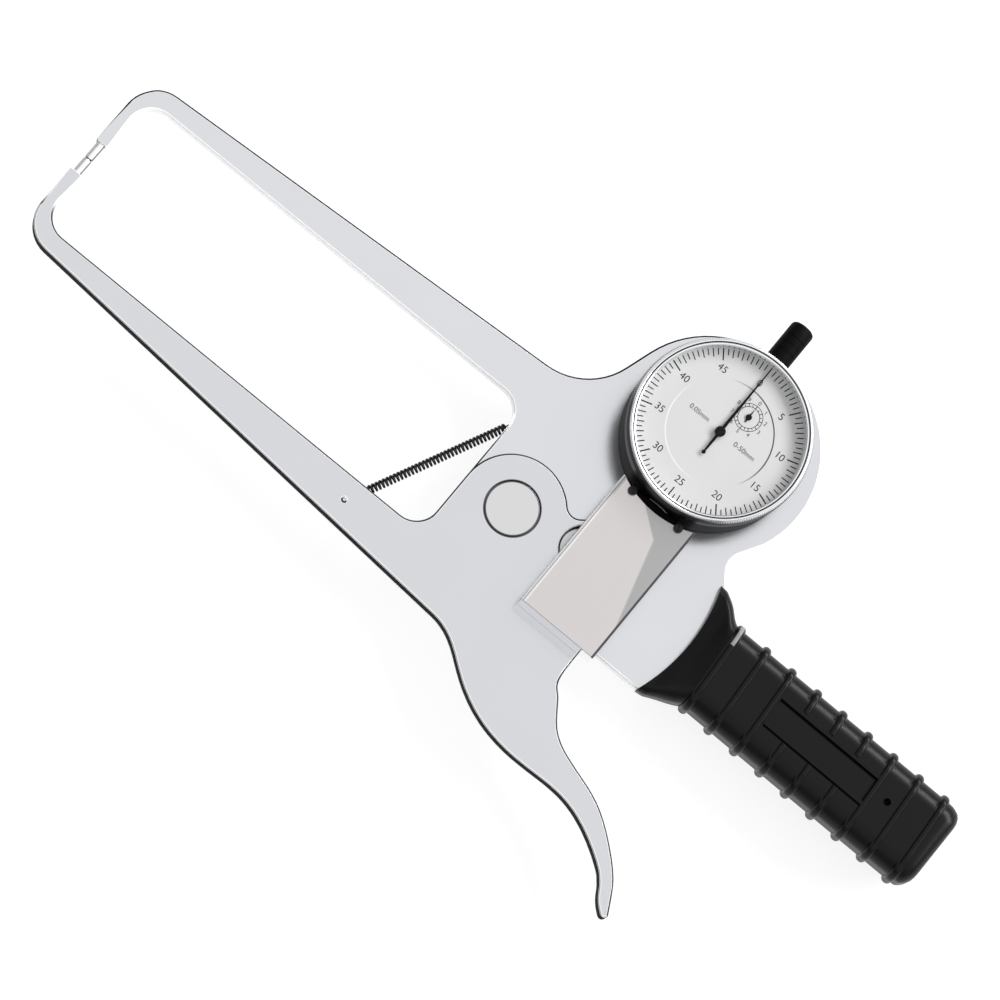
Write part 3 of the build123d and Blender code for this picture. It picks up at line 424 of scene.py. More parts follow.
def cover_finish():
    finish = Finish("cover_sheet_metal", cover_tone, Specular_IOR_Level=0.1)
    x, y = finish.at()[:2]
    long_side, short_side = [point_x + (point_y - y) * slope for point_x, point_y, slope in wedge_lines]
    # Painted darker reflection in a wedge on the top.
    wedge = (x - finish.both(long_side, short_side)).fade(-0.4, 0.4)
    # Painted shade on the right bend.
    right = (x - right_bend).fade(-0.1, 0.1)
    face = finish.blend(wedge, cover_tone, cover_painted_reflection)
    face = finish.blend(right, face, rgb(66, 66, 68))
    # Painted highlight and shade on the left bend.
    for start, tone in left_bend_highlight_and_shade:
        face = finish.blend(1 - (x - start).fade(-0.1, 0.1), face, tone)
    bend = finish.either(right, 1 - (x - left_bend).fade(-0.1, 0.1))
    lines = finish.noise(3500, 2.0, (1, 0.03, 1))
    finish.feed("Base Color", face)
    finish.feed("Metallic", 1 - bend)
    finish.feed("Roughness", 0.26 + 0.08 * lines)
    finish.bump(lines, 0.0008)
    return finish.material


def glass_finish():
    finish = Finish("crystal_glass", rgb(90, 92, 92), roughness=0.03)
    finish.feed("Alpha", 0.02 + 0.01 * finish.noise(40))
    return finish.material


cover_metal = cover_finish()
glass = glass_finish()
print("nodes in the cover's finish:", len(cover_metal.node_tree.nodes))

# %% [markdown]
# ## The bezel's chrome
#
# The bezel is chromed brass. Its top is bright, and the rim's outside lost its shine to handling. There the
# colour is painted shade, darkest where the rim turns away from the lamp, and painted shade fills the
# knurl. The knurl's painted shade has to sit between the teeth, so it is a cosine of the angle round the
# dial's axis that makes one wave for each tooth. The teeth themselves are cut later, from the same number
# of steps.

# %% Bezel chrome
dial_x, dial_y = 33.6, 56.5
knurl_steps = 480  # two to a tooth
rim_top, crown_edge = (23.8, 24.2), (28.25, 28.4)
joint_from, joint_to = (26.95, 27.05), (27.42, 27.52)


def chrome_finish():
    plated = rgb(240, 241, 243)
    finish = Finish("bezel_chrome", plated, Specular_IOR_Level=0.15)
    x, y, z = finish.at()
    out = finish.radius(dial_x, dial_y)
    east, north, upward = finish.normal()
    side = (1 - abs(upward).fade(0.6, 0.8)) * out.fade(*crown_edge)
    # Painted light and shade on the rim's outside and slope, by the way the surface faces the lamp.
    shaded = (east * -0.35 + north * -0.94).fade(0.4, 0.7)
    slope = finish.blend(shaded, rgb(214, 215, 217), rgb(52, 52, 54))
    low = finish.blend(finish.either(shaded, east.fade(0.1, 0.4)), rgb(150, 150, 152), rgb(14, 14, 15))
    ridge = finish.blend(z.fade(*rim_top), low, slope)
    angle = finish.node("Math", {"operation": "ARCTAN2"}, {0: y - dial_y, 1: x - dial_x})
    stripe = finish.node("Math", {"operation": "COSINE"}, {0: angle * (knurl_steps / 2)})
    # Painted shade between the knurl's teeth.
    painted_groove_shade = finish.blend(stripe.fade(0.2, -0.6) * 0.75, ridge, rgb(6, 6, 7))
    joint = out.fade(*joint_from) * (1 - out.fade(*joint_to))
    tone = finish.blend(joint, plated, rgb(112, 112, 114))
    finish.feed("Base Color", finish.blend(side, tone, painted_groove_shade))
    finish.feed("Metallic", 1 - side)
    finish.feed("Roughness", 0.14 + 0.03 * finish.noise(900) + 0.2 * side)
    return finish.material


chrome = chrome_finish()
print("nodes in the chrome:", len(chrome.node_tree.nodes), "teeth:", knurl_steps // 2)

# %% [markdown]
# ## The grip's plastic and the dial's edge
#
# The grip is moulded in plastic, and the spark-eroded mould gave it a fine grain with no direction. The end
# of its first rib is painted a grey bar, which follows the rib's slant. The inner dial stands a little
# proud of the scale: its edge has painted light on one side and painted shade on the other, from a share
# that runs across it.

# %% Grip and dial edge
first_rib, rib_slant, grip_y = 78.4, 0.06, 1.5
bar_y, bar_z = 9.7, 2.5
moulded_black = rgb(10, 10, 11)
disc_radius = 16.8


def grip_finish():
    finish = Finish("moulded_grip", moulded_black, Specular_IOR_Level=0.16)
    x, y, z = finish.at()
    across = abs(x + rib_slant * (y - grip_y) - first_rib)
    bar = (1 - across.fade(0.6, 0.75)) * (y > bar_y) * (z > bar_z)
    grain = finish.noise(2600)
    finish.feed("Base Color", finish.blend(bar, moulded_black, rgb(128, 128, 130)))
    finish.feed("Roughness", 0.32 + 0.1 * (grain - 0.5))
    finish.bump(grain, 0.004)
    return finish.material


def step_finish():
    finish = Finish("dial_step", rgb(200, 200, 200), roughness=0.6)
    x, y = finish.at()[:2]
    toward = ((x - dial_x) * 0.77 + (y - dial_y) * 0.64) / disc_radius
    # Painted light on one side of the edge and painted shade on the other.
    edge = finish.blend(toward.fade(-0.3, -0.95), rgb(192, 192, 192), rgb(212, 212, 212))
    finish.feed("Base Color", finish.blend(toward.fade(0.15, 0.85), edge, rgb(58, 58, 60)))
    return finish.material


grip_plastic = grip_finish()
dial_step = step_finish()
print("all finishes:", len(bpy.data.materials))

# %% [markdown]
# ## Rounded edges on the CAD's own shapes
#
# A real edge is never sharp: it is broken by a file or by tumbling, and the small round catches the light.
# The CAD meshes may not be changed, so each piece that needs it is copied, its loose triangles are joined
# into clean faces, and a bevel runs along every sharp edge. Weighted normals keep the flat faces flat
# while the rounds shade smoothly. All pieces are drawn in millimetres and scaled to metres at the end.

# %% Copy a CAD node and break its edges
hair_width = 0.15


def new_piece(name, mesh, body, finish, stands_for=()):
    bmesh.ops.scale(mesh, verts=mesh.verts, vec=(MM, MM, MM))
    data = bpy.data.meshes.new(name)
    mesh.to_mesh(data)
    mesh.free()
    piece = bpy.data.objects.new(name, data)
    bpy.context.scene.collection.objects.link(piece)
    data.materials.append(finish)
    if body:
        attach(piece, body)
    if stands_for:
        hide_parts(*stands_for)
    return piece


def smooth(mesh, crease=35):
    # Smooth everywhere but across edges that turn by more than this many degrees.
    for face in mesh.faces:
        face.smooth = True
    for edge in mesh.edges:
        edge.smooth = edge.is_manifold and edge.calc_face_angle() < math.radians(crease)


def even_normals(piece):
    weighted = piece.modifiers.new("even_normals", "WEIGHTED_NORMAL")
    weighted.keep_sharp = True
    weighted.weight = 100
    return piece


def cad_copy(node):
    mesh = bmesh.new()
    mesh.from_mesh(frame["nodes"][node].data)
    bmesh.ops.scale(mesh, verts=mesh.verts, vec=(1 / MM, 1 / MM, 1 / MM))
    bmesh.ops.remove_doubles(mesh, verts=mesh.verts, dist=0.002)
    bmesh.ops.dissolve_limit(
        mesh, angle_limit=math.radians(0.5), verts=mesh.verts, edges=mesh.edges, delimit={"NORMAL"}
    )
    return mesh


def break_edges(mesh, width, segments=2, fine=()):
    # Outer edges that turn by more than 40 degrees. Those within a circle named in fine, as
    # (x, y, radius), get a hair's width.
    def is_fine(edge):
        far = [max((v.co.xy - Vector((x, y))).length - radius for v in edge.verts) for x, y, radius in fine]
        return min(far, default=1) < 0

    for offset, wanted in ((width, False), (hair_width, True)):
        sharp = [e for e in mesh.edges if e.is_convex and e.calc_face_angle() > math.radians(40)]
        bmesh.ops.bevel(
            mesh, geom=[e for e in sharp if is_fine(e) == wanted], offset=offset, offset_type="OFFSET",
            segments=segments, profile=0.5, affect="EDGES", material=-1, clamp_overlap=False,
        )
    return mesh


print("edge tools ready, fine edges:", hair_width, "mm")

# %% [markdown]
# ## The plates and the turned parts
#
# Each piece rides on the body of the node that it replaces, and its bevel is as wide as a maker would break
# that edge. Two outlines are worked over before the bevel: the trigger's tip is smoothed, because a kink
# there would catch the light, and the fixed arm's outer edge moves out, as the real arm is wider.

# %% Dress the CAD's pieces
def body_of(node):
    return frame["nodes"][node]["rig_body"]


def soften(mesh, zones):
    # Draws the small bumps out of an outline, in zones given as (low x, high x, low y, high y, rounds).
    for west, east, south, north, rounds in zones:
        bumpy = [v for v in mesh.verts if west < v.co.x < east and south < v.co.y < north]
        for _ in range(rounds):
            bmesh.ops.smooth_vert(mesh, verts=bumpy, factor=0.5, use_axis_x=True, use_axis_y=True)
        print("softened", len(bumpy), "points")


def file_arm(mesh):
    # Moves the fixed arm's outer edge out, in full from the pivot to the tip and less towards the dial.
    for vert in mesh.verts:
        over = vert.co.y - (arm_rise * vert.co.x + arm_middle)
        share = min(1, max(0, (arm_root - vert.co.x) / arm_root)) * min(1, max(0, (over + 1) / 2))
        vert.co.y += arm_growth * share


def dressed(node, name, finish, width=0.3, segments=2, fine=(), soft=(), shape=None):
    mesh = cad_copy(node)
    soften(mesh, soft)
    if shape:
        shape(mesh)
    break_edges(mesh, width, segments, fine)
    smooth(mesh)
    print(name, "faces:", len(mesh.faces))
    return even_normals(new_piece(name, mesh, body_of(node), finish, [node]))


arm_growth = 0.4
rims = [(0, 0, 9.5), (-168, 0, 9)]  # round the pivot's cap and round the contacts
trigger = [(88, 100, -80, -70, 12)]
dressed("body_plate", "body_plate_rounded", body_metal, 0.85, 4, fine=rims, shape=file_arm)
dressed("moving_arm", "lever_arm_rounded", lever_metal, 0.85, 4, fine=rims, soft=trigger)
dressed("fixed_contact", "fixed_contact_ground", contact_steel, 0.15)
dressed("moving_contact", "moving_contact_ground", contact_steel, 0.15)
dressed("pivot_pin", "pivot_pin_turned", pivot_cap, 0.2)
dressed("pivot_nut", "pivot_nut_turned", steel, 0.25)
dressed("stop_post", "stop_post_turned", stop_steel, 0.3)
dressed("lever_pin", "lever_pin_turned", steel, 0.3)
dressed("spindle_cover", "spindle_cover_pressed", cover_metal, 0.25, 3)
dressed("stem_block", "stem_block_milled", enamel, 0.4)
dressed("dial_case", "dial_case_enamelled", enamel, 0.3)
dressed("case_back", "case_back_enamelled", enamel, 0.2)
dressed("stem", "stem_turned", steel, 0.2)
dressed("contact_point", "contact_point_turned", steel, 0.15)

# %% [markdown]
# ## Finishes on the CAD nodes that stay
#
# The movement sits inside the closed case and the pins are plain, so their CAD shapes are right as they
# are. They only need the right metal.

# %% Materials on the remaining nodes
kept = {
    "pivot_bush": brass, "body_spring_pin": steel, "arm_spring_pin": steel, "block_screws": black_steel,
    "grip_screws": black_steel, "crystal": glass, "scale_ring": dial_paint, "inner_dial": dial_paint,
    "movement_plate": brass, "movement_bridge": brass, "movement_pillars": brass, "spindle": steel,
    "guide_pin": steel, "rack_pinion": steel, "drive_wheel": brass, "centre_pinion": steel,
    "pointer": hand_black, "takeup_arbor": steel, "takeup_wheel": brass, "hairspring": spring_black,
    "counter_pointer": hand_black,
}
for node, finish in kept.items():
    frame["nodes"][node].data.materials.clear()
    frame["nodes"][node].data.materials.append(finish)
print("finishes put on", len(kept), "CAD nodes")

# %% [markdown]
# ## The tension spring
#
# A close-wound wire pulls the lever shut. A small circle, the section of the wire, is spun round the
# spring's own axis and moved along it at each step, which leaves a helix. Both ends then turn out of the
# coil into a loop round a pin. The spring is drawn along Z and laid down between its pins at the end. It
# spans two bodies, and is attached to neither.

# %% Spring
body_pin = Vector((-14.5, 25.5, 2.1))
arm_pin = Vector((-41.0, -31.3, 2.1))
coil_radius = 1.12
coil_turns = 39
coil_pitch = 1.24
turn_steps = 14
wire_radius = 0.43
wire_sides = 8
hook_radius = 1.12


def spin_on(mesh, ring, centre, axis, degrees, steps, rise=0.0):
    # Carries the ring of edges on round an axis, and along it by the rise.
    bmesh.ops.spin(
        mesh, geom=ring, cent=centre, axis=axis, dvec=Vector(axis) * rise / steps,
        angle=math.radians(degrees), steps=steps, use_merge=False,
    )


def extension_spring():
    mesh = bmesh.new()
    span = (body_pin - arm_pin).length
    lower = (span - coil_turns * coil_pitch) / 2
    bmesh.ops.create_circle(
        mesh, cap_ends=False, segments=wire_sides, radius=wire_radius,
        matrix=Matrix.Translation((coil_radius, 0, lower)) @ Matrix.Rotation(math.radians(90), 4, "X"),
    )
    ring = mesh.verts[:] + mesh.edges[:]
    steps = turn_steps * coil_turns
    spin_on(mesh, ring, (0, 0, 0), (0, 0, 1), 360 * coil_turns, steps, coil_turns * coil_pitch)
    add_hook(mesh, -1, 0.0, lower)
    add_hook(mesh, 1, span, span - lower)
    bmesh.ops.recalc_face_normals(mesh, faces=mesh.faces)
    smooth(mesh, 60)
    lay = (body_pin - arm_pin).to_track_quat("Z", "X").to_matrix().to_4x4()
    bmesh.ops.transform(mesh, matrix=Matrix.Translation(arm_pin) @ lay, verts=mesh.verts)
    return mesh


def add_hook(mesh, side, pin, coil_end):
    # A straight shank from the coil's last turn to the pin, and three quarters of a loop round it.
    reach = abs(coil_end - pin)
    made = bmesh.ops.create_circle(
        mesh, cap_ends=True, segments=wire_sides, radius=wire_radius,
        matrix=Matrix.Translation((hook_radius, 0, coil_end - side * coil_pitch)),
    )
    face = [f for v in made["verts"] for f in v.link_faces][:1]
    grown = bmesh.ops.extrude_face_region(mesh, geom=face)
    tip = [v for v in grown["geom"] if isinstance(v, bmesh.types.BMVert)]
    bmesh.ops.translate(mesh, verts=tip, vec=(0, 0, side * (reach + coil_pitch)))
    ring = [g for g in grown["geom"] if not isinstance(g, bmesh.types.BMVert)]
    spin_on(mesh, tip + ring, (0, 0, pin), (0, 1, 0), -side * 270, turn_steps)


spring = new_piece("tension_spring_wire", extension_spring(), None, spring_black, ["tension_spring"])
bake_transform(spring)
print("spring wire, faces:", len(spring.data.polygons))

# %% [markdown]
# ## The bezel
#
# The bezel is a turned ring that holds the glass, and a finger turns it by its knurled rim to set zero.
# Its section is drawn as a short chain of points and spun round the dial's axis: the wide knurled rim, a
# rounded bright ring on top of it, a joint, and the lip over the glass. The knurl is cut by pulling every
# second column of the rim inwards, so that it runs out in the slope above the rim, and the painted shade of
# the chrome finish falls between its teeth.

# %% Bezel
dial = Vector((dial_x, dial_y, 0))
rim_radius, tooth_depth = 29.0, 0.25
bezel_section = (
    (28.4, 18.1), (28.8, 18.35), (28.8, 18.9), (rim_radius, 19.2), (rim_radius, 21.4), (rim_radius, 23.6),
    (28.35, 24.9), (28.3, 25.25), (28.2, 25.65), (28.0, 25.85), (27.8, 25.9), (27.55, 25.85), (27.38, 25.7),
    (27.3, 25.35), (27.2, 25.5), (26.9, 25.55), (26.5, 25.4), (26.35, 25.22), (26.8, 25.21), (26.8, 24.05),
    (26.4, 24.0), (26.4, 21.65), (27.5, 21.62), (27.5, 18.1),
)


def chain(mesh, points, closed=True):
    # A line of points in the plane through the axis, as (distance from the axis, height).
    verts = [mesh.verts.new((radius, 0, height)) for radius, height in points]
    ends = verts[1:] + verts[:1] if closed else verts[1:]
    edges = [mesh.edges.new(pair) for pair in zip(verts, ends)]
    return verts + edges


def turned_ring(points, steps, closed=True):
    mesh = bmesh.new()
    bmesh.ops.spin(
        mesh, geom=chain(mesh, points, closed), cent=(0, 0, 0), axis=(0, 0, 1), angle=math.tau, steps=steps,
        use_merge=True,
    )
    bmesh.ops.remove_doubles(mesh, verts=mesh.verts, dist=0.0005)
    bmesh.ops.recalc_face_normals(mesh, faces=mesh.faces)
    return mesh


def knurl(mesh):
    for vert in mesh.verts:
        column = round(math.atan2(vert.co.y, vert.co.x) / math.tau * knurl_steps)
        if abs(vert.co.xy.length - rim_radius) < 0.01 and column % 2:
            vert.co.xy *= 1 - tooth_depth / rim_radius


bezel_mesh = turned_ring(bezel_section, knurl_steps)
knurl(bezel_mesh)
smooth(bezel_mesh, 32)
bmesh.ops.translate(bezel_mesh, verts=bezel_mesh.verts, vec=dial)
bezel = new_piece("bezel_knurled", bezel_mesh, "bezel_unit", chrome, ["bezel"])
print("bezel faces:", len(bezel.data.polygons))

# %% [markdown]
# ## Marks, circles and letters
#
# Print is a film of ink. Drawn as geometry it stays sharp from close by and turns with the piece that it
# is on. Each mark is a flat strip set one hundredth of a millimetre above the paint, a circle is a short
# edge that is spun, and the numbers are text turned into mesh.

# %% Marks and numbers
print_height = 21.612


def add_mark(mesh, centre, angle, inner, outer, width):
    # A strip along the radius at an angle clockwise from the top.
    turn = Matrix.Rotation(-math.radians(angle), 4, "Z")
    middle = Matrix.Translation((0, (inner + outer) / 2, 0))
    place = Matrix.Translation((*centre.xy, print_height)) @ turn @ middle
    size = Matrix.Diagonal((width, outer - inner, 1, 1))
    bmesh.ops.create_grid(mesh, x_segments=1, y_segments=1, size=0.5, matrix=place @ size)


def add_circle(mesh, centre, radius, width, steps=96):
    # A flat ring, spun lying at height 0 and then lifted, so it is told from the print that is there.
    verts = [mesh.verts.new((radius + side * width / 2, 0, 0)) for side in (-1, 1)]
    edge = mesh.edges.new(verts)
    bmesh.ops.spin(
        mesh, geom=verts + [edge], cent=(0, 0, 0), axis=(0, 0, 1), angle=math.tau, steps=steps,
        use_merge=True,
    )
    loop = {v for v in mesh.verts if abs(v.co.z) < 1e-6 and v.co.xy.length < radius + width}
    bmesh.ops.translate(mesh, verts=list(loop), vec=(*centre.xy, print_height))


def add_text(mesh, words, size, x, y):
    # Letters that read along X, centred on x, y.
    curve = bpy.data.curves.new("letters", "FONT")
    curve.body, curve.size = words, size
    curve.align_x, curve.align_y = "CENTER", "CENTER"
    maker = bpy.data.objects.new("letters", curve)
    bpy.context.scene.collection.objects.link(maker)
    flat = bpy.data.meshes.new_from_object(maker)
    flat.transform(Matrix.Translation((x, y, print_height)))
    mesh.from_mesh(flat)
    bpy.data.objects.remove(maker)
    bpy.data.curves.remove(curve)
    bpy.data.meshes.remove(flat)


def add_numbers(mesh, centre, radius, size, step):
    # Ten numbers round a circle, clockwise from the top, each a step more than the last.
    for number in range(10):
        angle = math.radians(36 * number)
        x, y = centre.x + radius * math.sin(angle), centre.y + radius * math.cos(angle)
        add_text(mesh, str(step * number), size, x, y)


print("print height, mm:", print_height)

# %% [markdown]
# ## The dial's print
#
# A hundred marks stand round the ring, longer at every second and longest at every tenth, with a number
# every ten marks. The small dial counts the pointer's turns. A narrow ring covers the joint between the
# inner dial and the scale ring, with painted light on one side and painted shade on the other. The scale's
# print rides on the bezel, because the scale turns with it, and the rest stays with the frame.

# %% Print
mark_end, tenth_start, second_start, mark_start = 26.1, 22.3, 23.4, 24.0
counter = Vector((37.6, 65.87, 0))
counter_inner, counter_outer = 3.4, 4.4


def ring_print():
    mesh = bmesh.new()
    for mark in range(100):
        tenth = mark % 10 == 0
        inner = tenth_start if tenth else second_start if mark % 2 == 0 else mark_start
        add_mark(mesh, dial, mark * 3.6, inner, mark_end, 0.42 if tenth else 0.34)
    add_numbers(mesh, dial, 19.8, 3.3, 5)
    return mesh


def disc_print():
    mesh = bmesh.new()
    for radius in (counter_inner, counter_outer):
        add_circle(mesh, counter, radius, 0.2)
    for mark in range(20):
        outer = 4.0 if mark % 2 else counter_outer
        add_mark(mesh, counter, mark * 18, counter_inner, outer, 0.24)
    add_numbers(mesh, counter, 5.5, 1.85, 1)
    add_text(mesh, "0.05mm", 2.3, 25.1, 57.2)
    add_text(mesh, "0-50mm", 2.35, 43.1, 56.6)
    return mesh


def step_ring():
    mesh = bmesh.new()
    add_circle(mesh, dial, disc_radius + 0.05, 0.42, 180)
    return mesh


ring = new_piece("dial_ring_print", ring_print(), "bezel_unit", print_black)
disc = new_piece("dial_disc_print", disc_print(), "frame", print_black)
new_piece("dial_step_edge", step_ring(), "frame", dial_step)
print("print faces:", len(ring.data.polygons), "on the ring,", len(disc.data.polygons), "on the disc")

# %% [markdown]
# ## The dust cap
#
# The cap over the spindle's upper end is turned from bar, with three fine finger grooves and a flat end
# with a small round. It is spun from its section like the bezel and laid along Y.

# %% Dust cap
cap_radius, groove_floor = 4.0, 3.88
groove_steps = ((cap_radius, 0.0), (groove_floor, 0.1), (groove_floor, 0.2), (cap_radius, 0.3))
cap_crown = [(0.0, 101.6), (2.4, 101.55), (3.2, 101.35), (3.75, 100.9), (cap_radius, 100.2)]
cap_grooves = [(radius, top - down) for top in (96.6, 94.0, 91.4) for radius, down in groove_steps]
cap_foot = [(cap_radius, 85.6), (3.75, 85.2), (0.0, 85.2)]


def turned_along_y(points, steps, x, z):
    mesh = turned_ring(points, steps, closed=False)
    lay = Matrix.Translation((x, 0, z)) @ Matrix.Rotation(math.radians(-90), 4, "X")
    bmesh.ops.transform(mesh, matrix=lay, verts=mesh.verts)
    bmesh.ops.recalc_face_normals(mesh, faces=mesh.faces)
    smooth(mesh, 28)
    return mesh


spindle_height = 12.0
cap_mesh = turned_along_y(cap_crown + cap_grooves + cap_foot, 64, dial.x, spindle_height)
cap = new_piece("dust_cap_turned", cap_mesh, "frame", enamel, ["dust_cap"])
print("dust cap faces:", len(cap.data.polygons))

# %% [markdown]
# ## The cover's turned-down end
#
# The cover's lower end is turned down towards the lever, with relief cuts beside the side walls so that
# the sheet could be bent. The flap is a flat strip of the same sheet with rounded edges.

# %% Cover end
flap_size, flap_place = (28.0, 0.7, 9.4), (dial.x, -21.6, 11.9)


def cover_flap():
    mesh = bmesh.new()
    bmesh.ops.create_cube(mesh, size=1.0)
    bmesh.ops.scale(mesh, verts=mesh.verts, vec=flap_size)
    bmesh.ops.translate(mesh, verts=mesh.verts, vec=flap_place)
    break_edges(mesh, 0.15, 2)
    smooth(mesh)
    return mesh


flap = even_normals(new_piece("cover_end_flap", cover_flap(), "frame", bright_steel))
print("cover end faces:", len(flap.data.polygons))

# %% [markdown]
# ## Screws of the cover
#
# Two cheese-head screws hold the cover on its block. Each head is a short cylinder with rounded edges and
# a slot, cut by pushing a narrow strip of the top face down.

# %% Cover screws
head_radius, head_height, head_bottom = 1.5, 1.1, 17.3
slot_half, slot_depth = 0.22, 0.5
screw_y, screw_spread = 26.0, 9


def everything(mesh):
    return mesh.verts[:] + mesh.edges[:] + mesh.faces[:]


def with_borders(faces):
    return faces + list({e for f in faces for e in f.edges}) + list({v for f in faces for v in f.verts})


def cut(mesh, geom, axis, place):
    # Adds a row of points where a plane square to the axis crosses the faces.
    point, normal = Vector(), Vector()
    point[axis], normal[axis] = place, 1
    bmesh.ops.bisect_plane(mesh, geom=geom, plane_co=point, plane_no=normal)


def slotted_screw(x, y, turn):
    mesh = bmesh.new()
    bmesh.ops.create_cone(
        mesh, cap_ends=True, segments=40, radius1=head_radius, radius2=head_radius, depth=head_height,
        matrix=Matrix.Translation((0, 0, head_bottom + head_height / 2)),
    )
    break_edges(mesh, 0.22, 3)
    for side in (-slot_half, slot_half):
        cut(mesh, everything(mesh), 1, side)
    strip = [f for f in mesh.faces if abs(f.calc_center_median().y) < slot_half and f.normal.z > 0.3]
    grown = bmesh.ops.extrude_face_region(mesh, geom=strip)
    low = [v for v in grown["geom"] if isinstance(v, bmesh.types.BMVert)]
    bmesh.ops.delete(mesh, geom=strip, context="FACES_ONLY")
    for vert in low:
        vert.co.z = head_bottom + head_height - slot_depth
    spot = Matrix.Translation((x, y, 0)) @ Matrix.Rotation(math.radians(turn), 4, "Z")
    bmesh.ops.transform(mesh, matrix=spot, verts=mesh.verts)
    smooth(mesh, 30)
    return mesh


def merged(meshes):
    whole = bmesh.new()
    for mesh in meshes:
        data = bpy.data.meshes.new("part")
        mesh.to_mesh(data)
        mesh.free()
        whole.from_mesh(data)
        bpy.data.meshes.remove(data)
    return whole


heads = [slotted_screw(dial.x + side * screw_spread, screw_y, 30 + 80 * side) for side in (-1, 1)]
screws = new_piece("cover_screws_slotted", merged(heads), "frame", black_steel, ["cover_screws"])
print("screw head faces:", len(screws.data.polygons))

# %% [markdown]
# ## The grip
#
# The grip is two mouldings screwed together round the body's tang. It is drawn here as one skin: a
# rounded rectangle is carried along X by extrusion, and each new ring takes the size that the grip has
# there. The collar flares at the front, where it is cut hollow to meet the body's round. Nine ribs stand
# proud for the fingers: half rounds on the sides, and a low pad with a sharp groove on the upper face. The
# side towards the trigger has a softer corner. The ribs stand a few degrees off square, as the mould's
# halves were cut, so the finished skin is sheared a little at the end.

# %% Grip sizes
grip_z = 2.25
grip_size = (30.0, 22.0, 6.5)  # width, depth and corner radius
grip_top, grip_bottom = grip_z + grip_size[1] / 2, grip_z - grip_size[1] / 2
soft_corner, soft_inset = 11.0, 0.55
# The collar's stations: place along X, width, depth and corner radius
collar_stations = (
    (64.0, 43.0, 11.0, 3.5), (67.0, 42.2, 12.5, 4.0), (72.0, 36.2, 17.0, 5.5), (77.0, *grip_size)
)
collar_lift, collar_chord, collar_sag = 1.0, 41.0, 3.6
grip_start, grip_end, end_round = 64.4, 166.0, 4.5
ribs = [first_rib + 10.12 * number for number in range(9)]
# The ribs' profiles: place along X from the rib's middle, and height
side_profile = (
    (-1.55, 0.0), (-1.45, 0.4), (-1.15, 0.85), (-0.7, 1.16), (-0.2, 1.26), (0.2, 1.26), (0.7, 1.16),
    (1.15, 0.85), (1.45, 0.4), (1.55, 0.0),
)
top_profile = (
    (-1.05, 0.0), (-1.0, -0.9), (-0.6, -0.9), (-0.5, 0.3), (-0.2, 0.38), (0.6, 0.38), (0.9, 0.25),
    (1.05, 0.0),
)
panel_from, slot_from, panel_to = 100.2, 138.0, 138.6
panel_floor, slot_floor = -0.8, -2.6
panel_walls = (-0.05, 0.05)  # a step of the panel runs over this much to both sides of its edge
# The bands of the panel: from y, to y, and height over the upper face
panel_bands = (
    (-3.5, -2.9, -1.4), (-2.9, -1.6, 0.38), (-1.6, 6.1, panel_floor), (6.1, 6.8, slot_floor),
    (6.8, 8.2, 0.0),
)
print("ribs, mm along the grip:", [round(rib, 1) for rib in ribs])

# %% [markdown]
# ## The grip's section at any place
#
# A skin that changes along its length is easy to extrude once functions give its section at any x. The
# collar's stations are joined by straight lines. A rib's height is read off its profile, and fades from the
# side's profile into the upper face's one across the rounded corner. The end of the grip is a quarter
# round. Rows of points stand close where these shapes bend, and flat stretches get few.

# %% Sections of the grip
def smoothstep(value, low, high):
    share = min(1, max(0, (value - low) / (high - low)))
    return share * share * (3 - 2 * share)


def section_at(x):
    # Width, depth, corner and lift of the grip's section at x, without ribs.
    for first, second in zip(collar_stations, collar_stations[1:]):
        if x <= second[0]:
            share = max(0.0, (x - first[0]) / (second[0] - first[0]))
            size = [a + (b - a) * share for a, b in zip(first[1:], second[1:])]
            return (*size, collar_lift * (1 - smoothstep(x, 67, 77)))
    return (*grip_size, 0.0)


def height_on(profile, x):
    for rib in ribs:
        for (near, low), (far, high) in zip(profile, profile[1:]):
            if near <= x - rib <= far:
                return low + (high - low) * (x - rib - near) / (far - near)
    return 0.0


def rib_at(x, turn):
    # The upper face has its own profile, which runs out in the rounded corner.
    share = smoothstep(turn, 0.75, 0.97)
    return height_on(side_profile, x) * (1 - share) + height_on(top_profile, x) * share


def grip_rows():
    # Every place along X where the skin needs a ring of points.
    rows = {grip_start + step * 0.7 for step in range(17)}
    for rib in ribs:
        rows |= {round(rib + point[0], 3) for point in side_profile + top_profile}
        rows |= {rib + across for across in (3.0, 5.0, 7.0)}
    rows |= {grip_end - end_round * (1 - math.sin(math.radians(a))) for a in (0, 18, 36, 54, 72, 84, 90)}
    rows |= {edge + side for edge in (panel_from, slot_from, panel_to) for side in panel_walls}
    return sorted(x for x in rows if x <= grip_end)


def end_inset(x):
    # How far the end's rounding draws the skin in.
    over = max(0.0, x - (grip_end - end_round))
    return end_round - math.sqrt(max(0.0, end_round**2 - over**2))


def front_sag(y):
    # The collar's front edge is hollow, cut to the curve of the body's rounded end.
    radius = (collar_chord**2 / 4 + collar_sag**2) / (2 * collar_sag)
    off = min(abs(y - grip_y - collar_lift), collar_chord / 2)
    return math.sqrt(radius**2 - off**2) - (radius - collar_sag)


def shaped(unit, x):
    # A point of the unit circle, taken out to the grip's section at x.
    width, depth, corner, lift = section_at(x)
    half = width / 2
    if unit.y < 0:
        half -= soft_inset
    if unit.y < 0 and unit.z < 0:
        corner = min(depth / 2, corner * soft_corner / grip_size[2])
    reach = corner + rib_at(x, unit.z) - end_inset(x)
    y = grip_y + lift + unit.y * reach + math.copysign(half - corner, unit.y)
    z = grip_z + unit.z * reach + math.copysign(depth / 2 - corner, unit.z)
    return Vector((x, y, z))


print("rows along the grip:", len(grip_rows()))

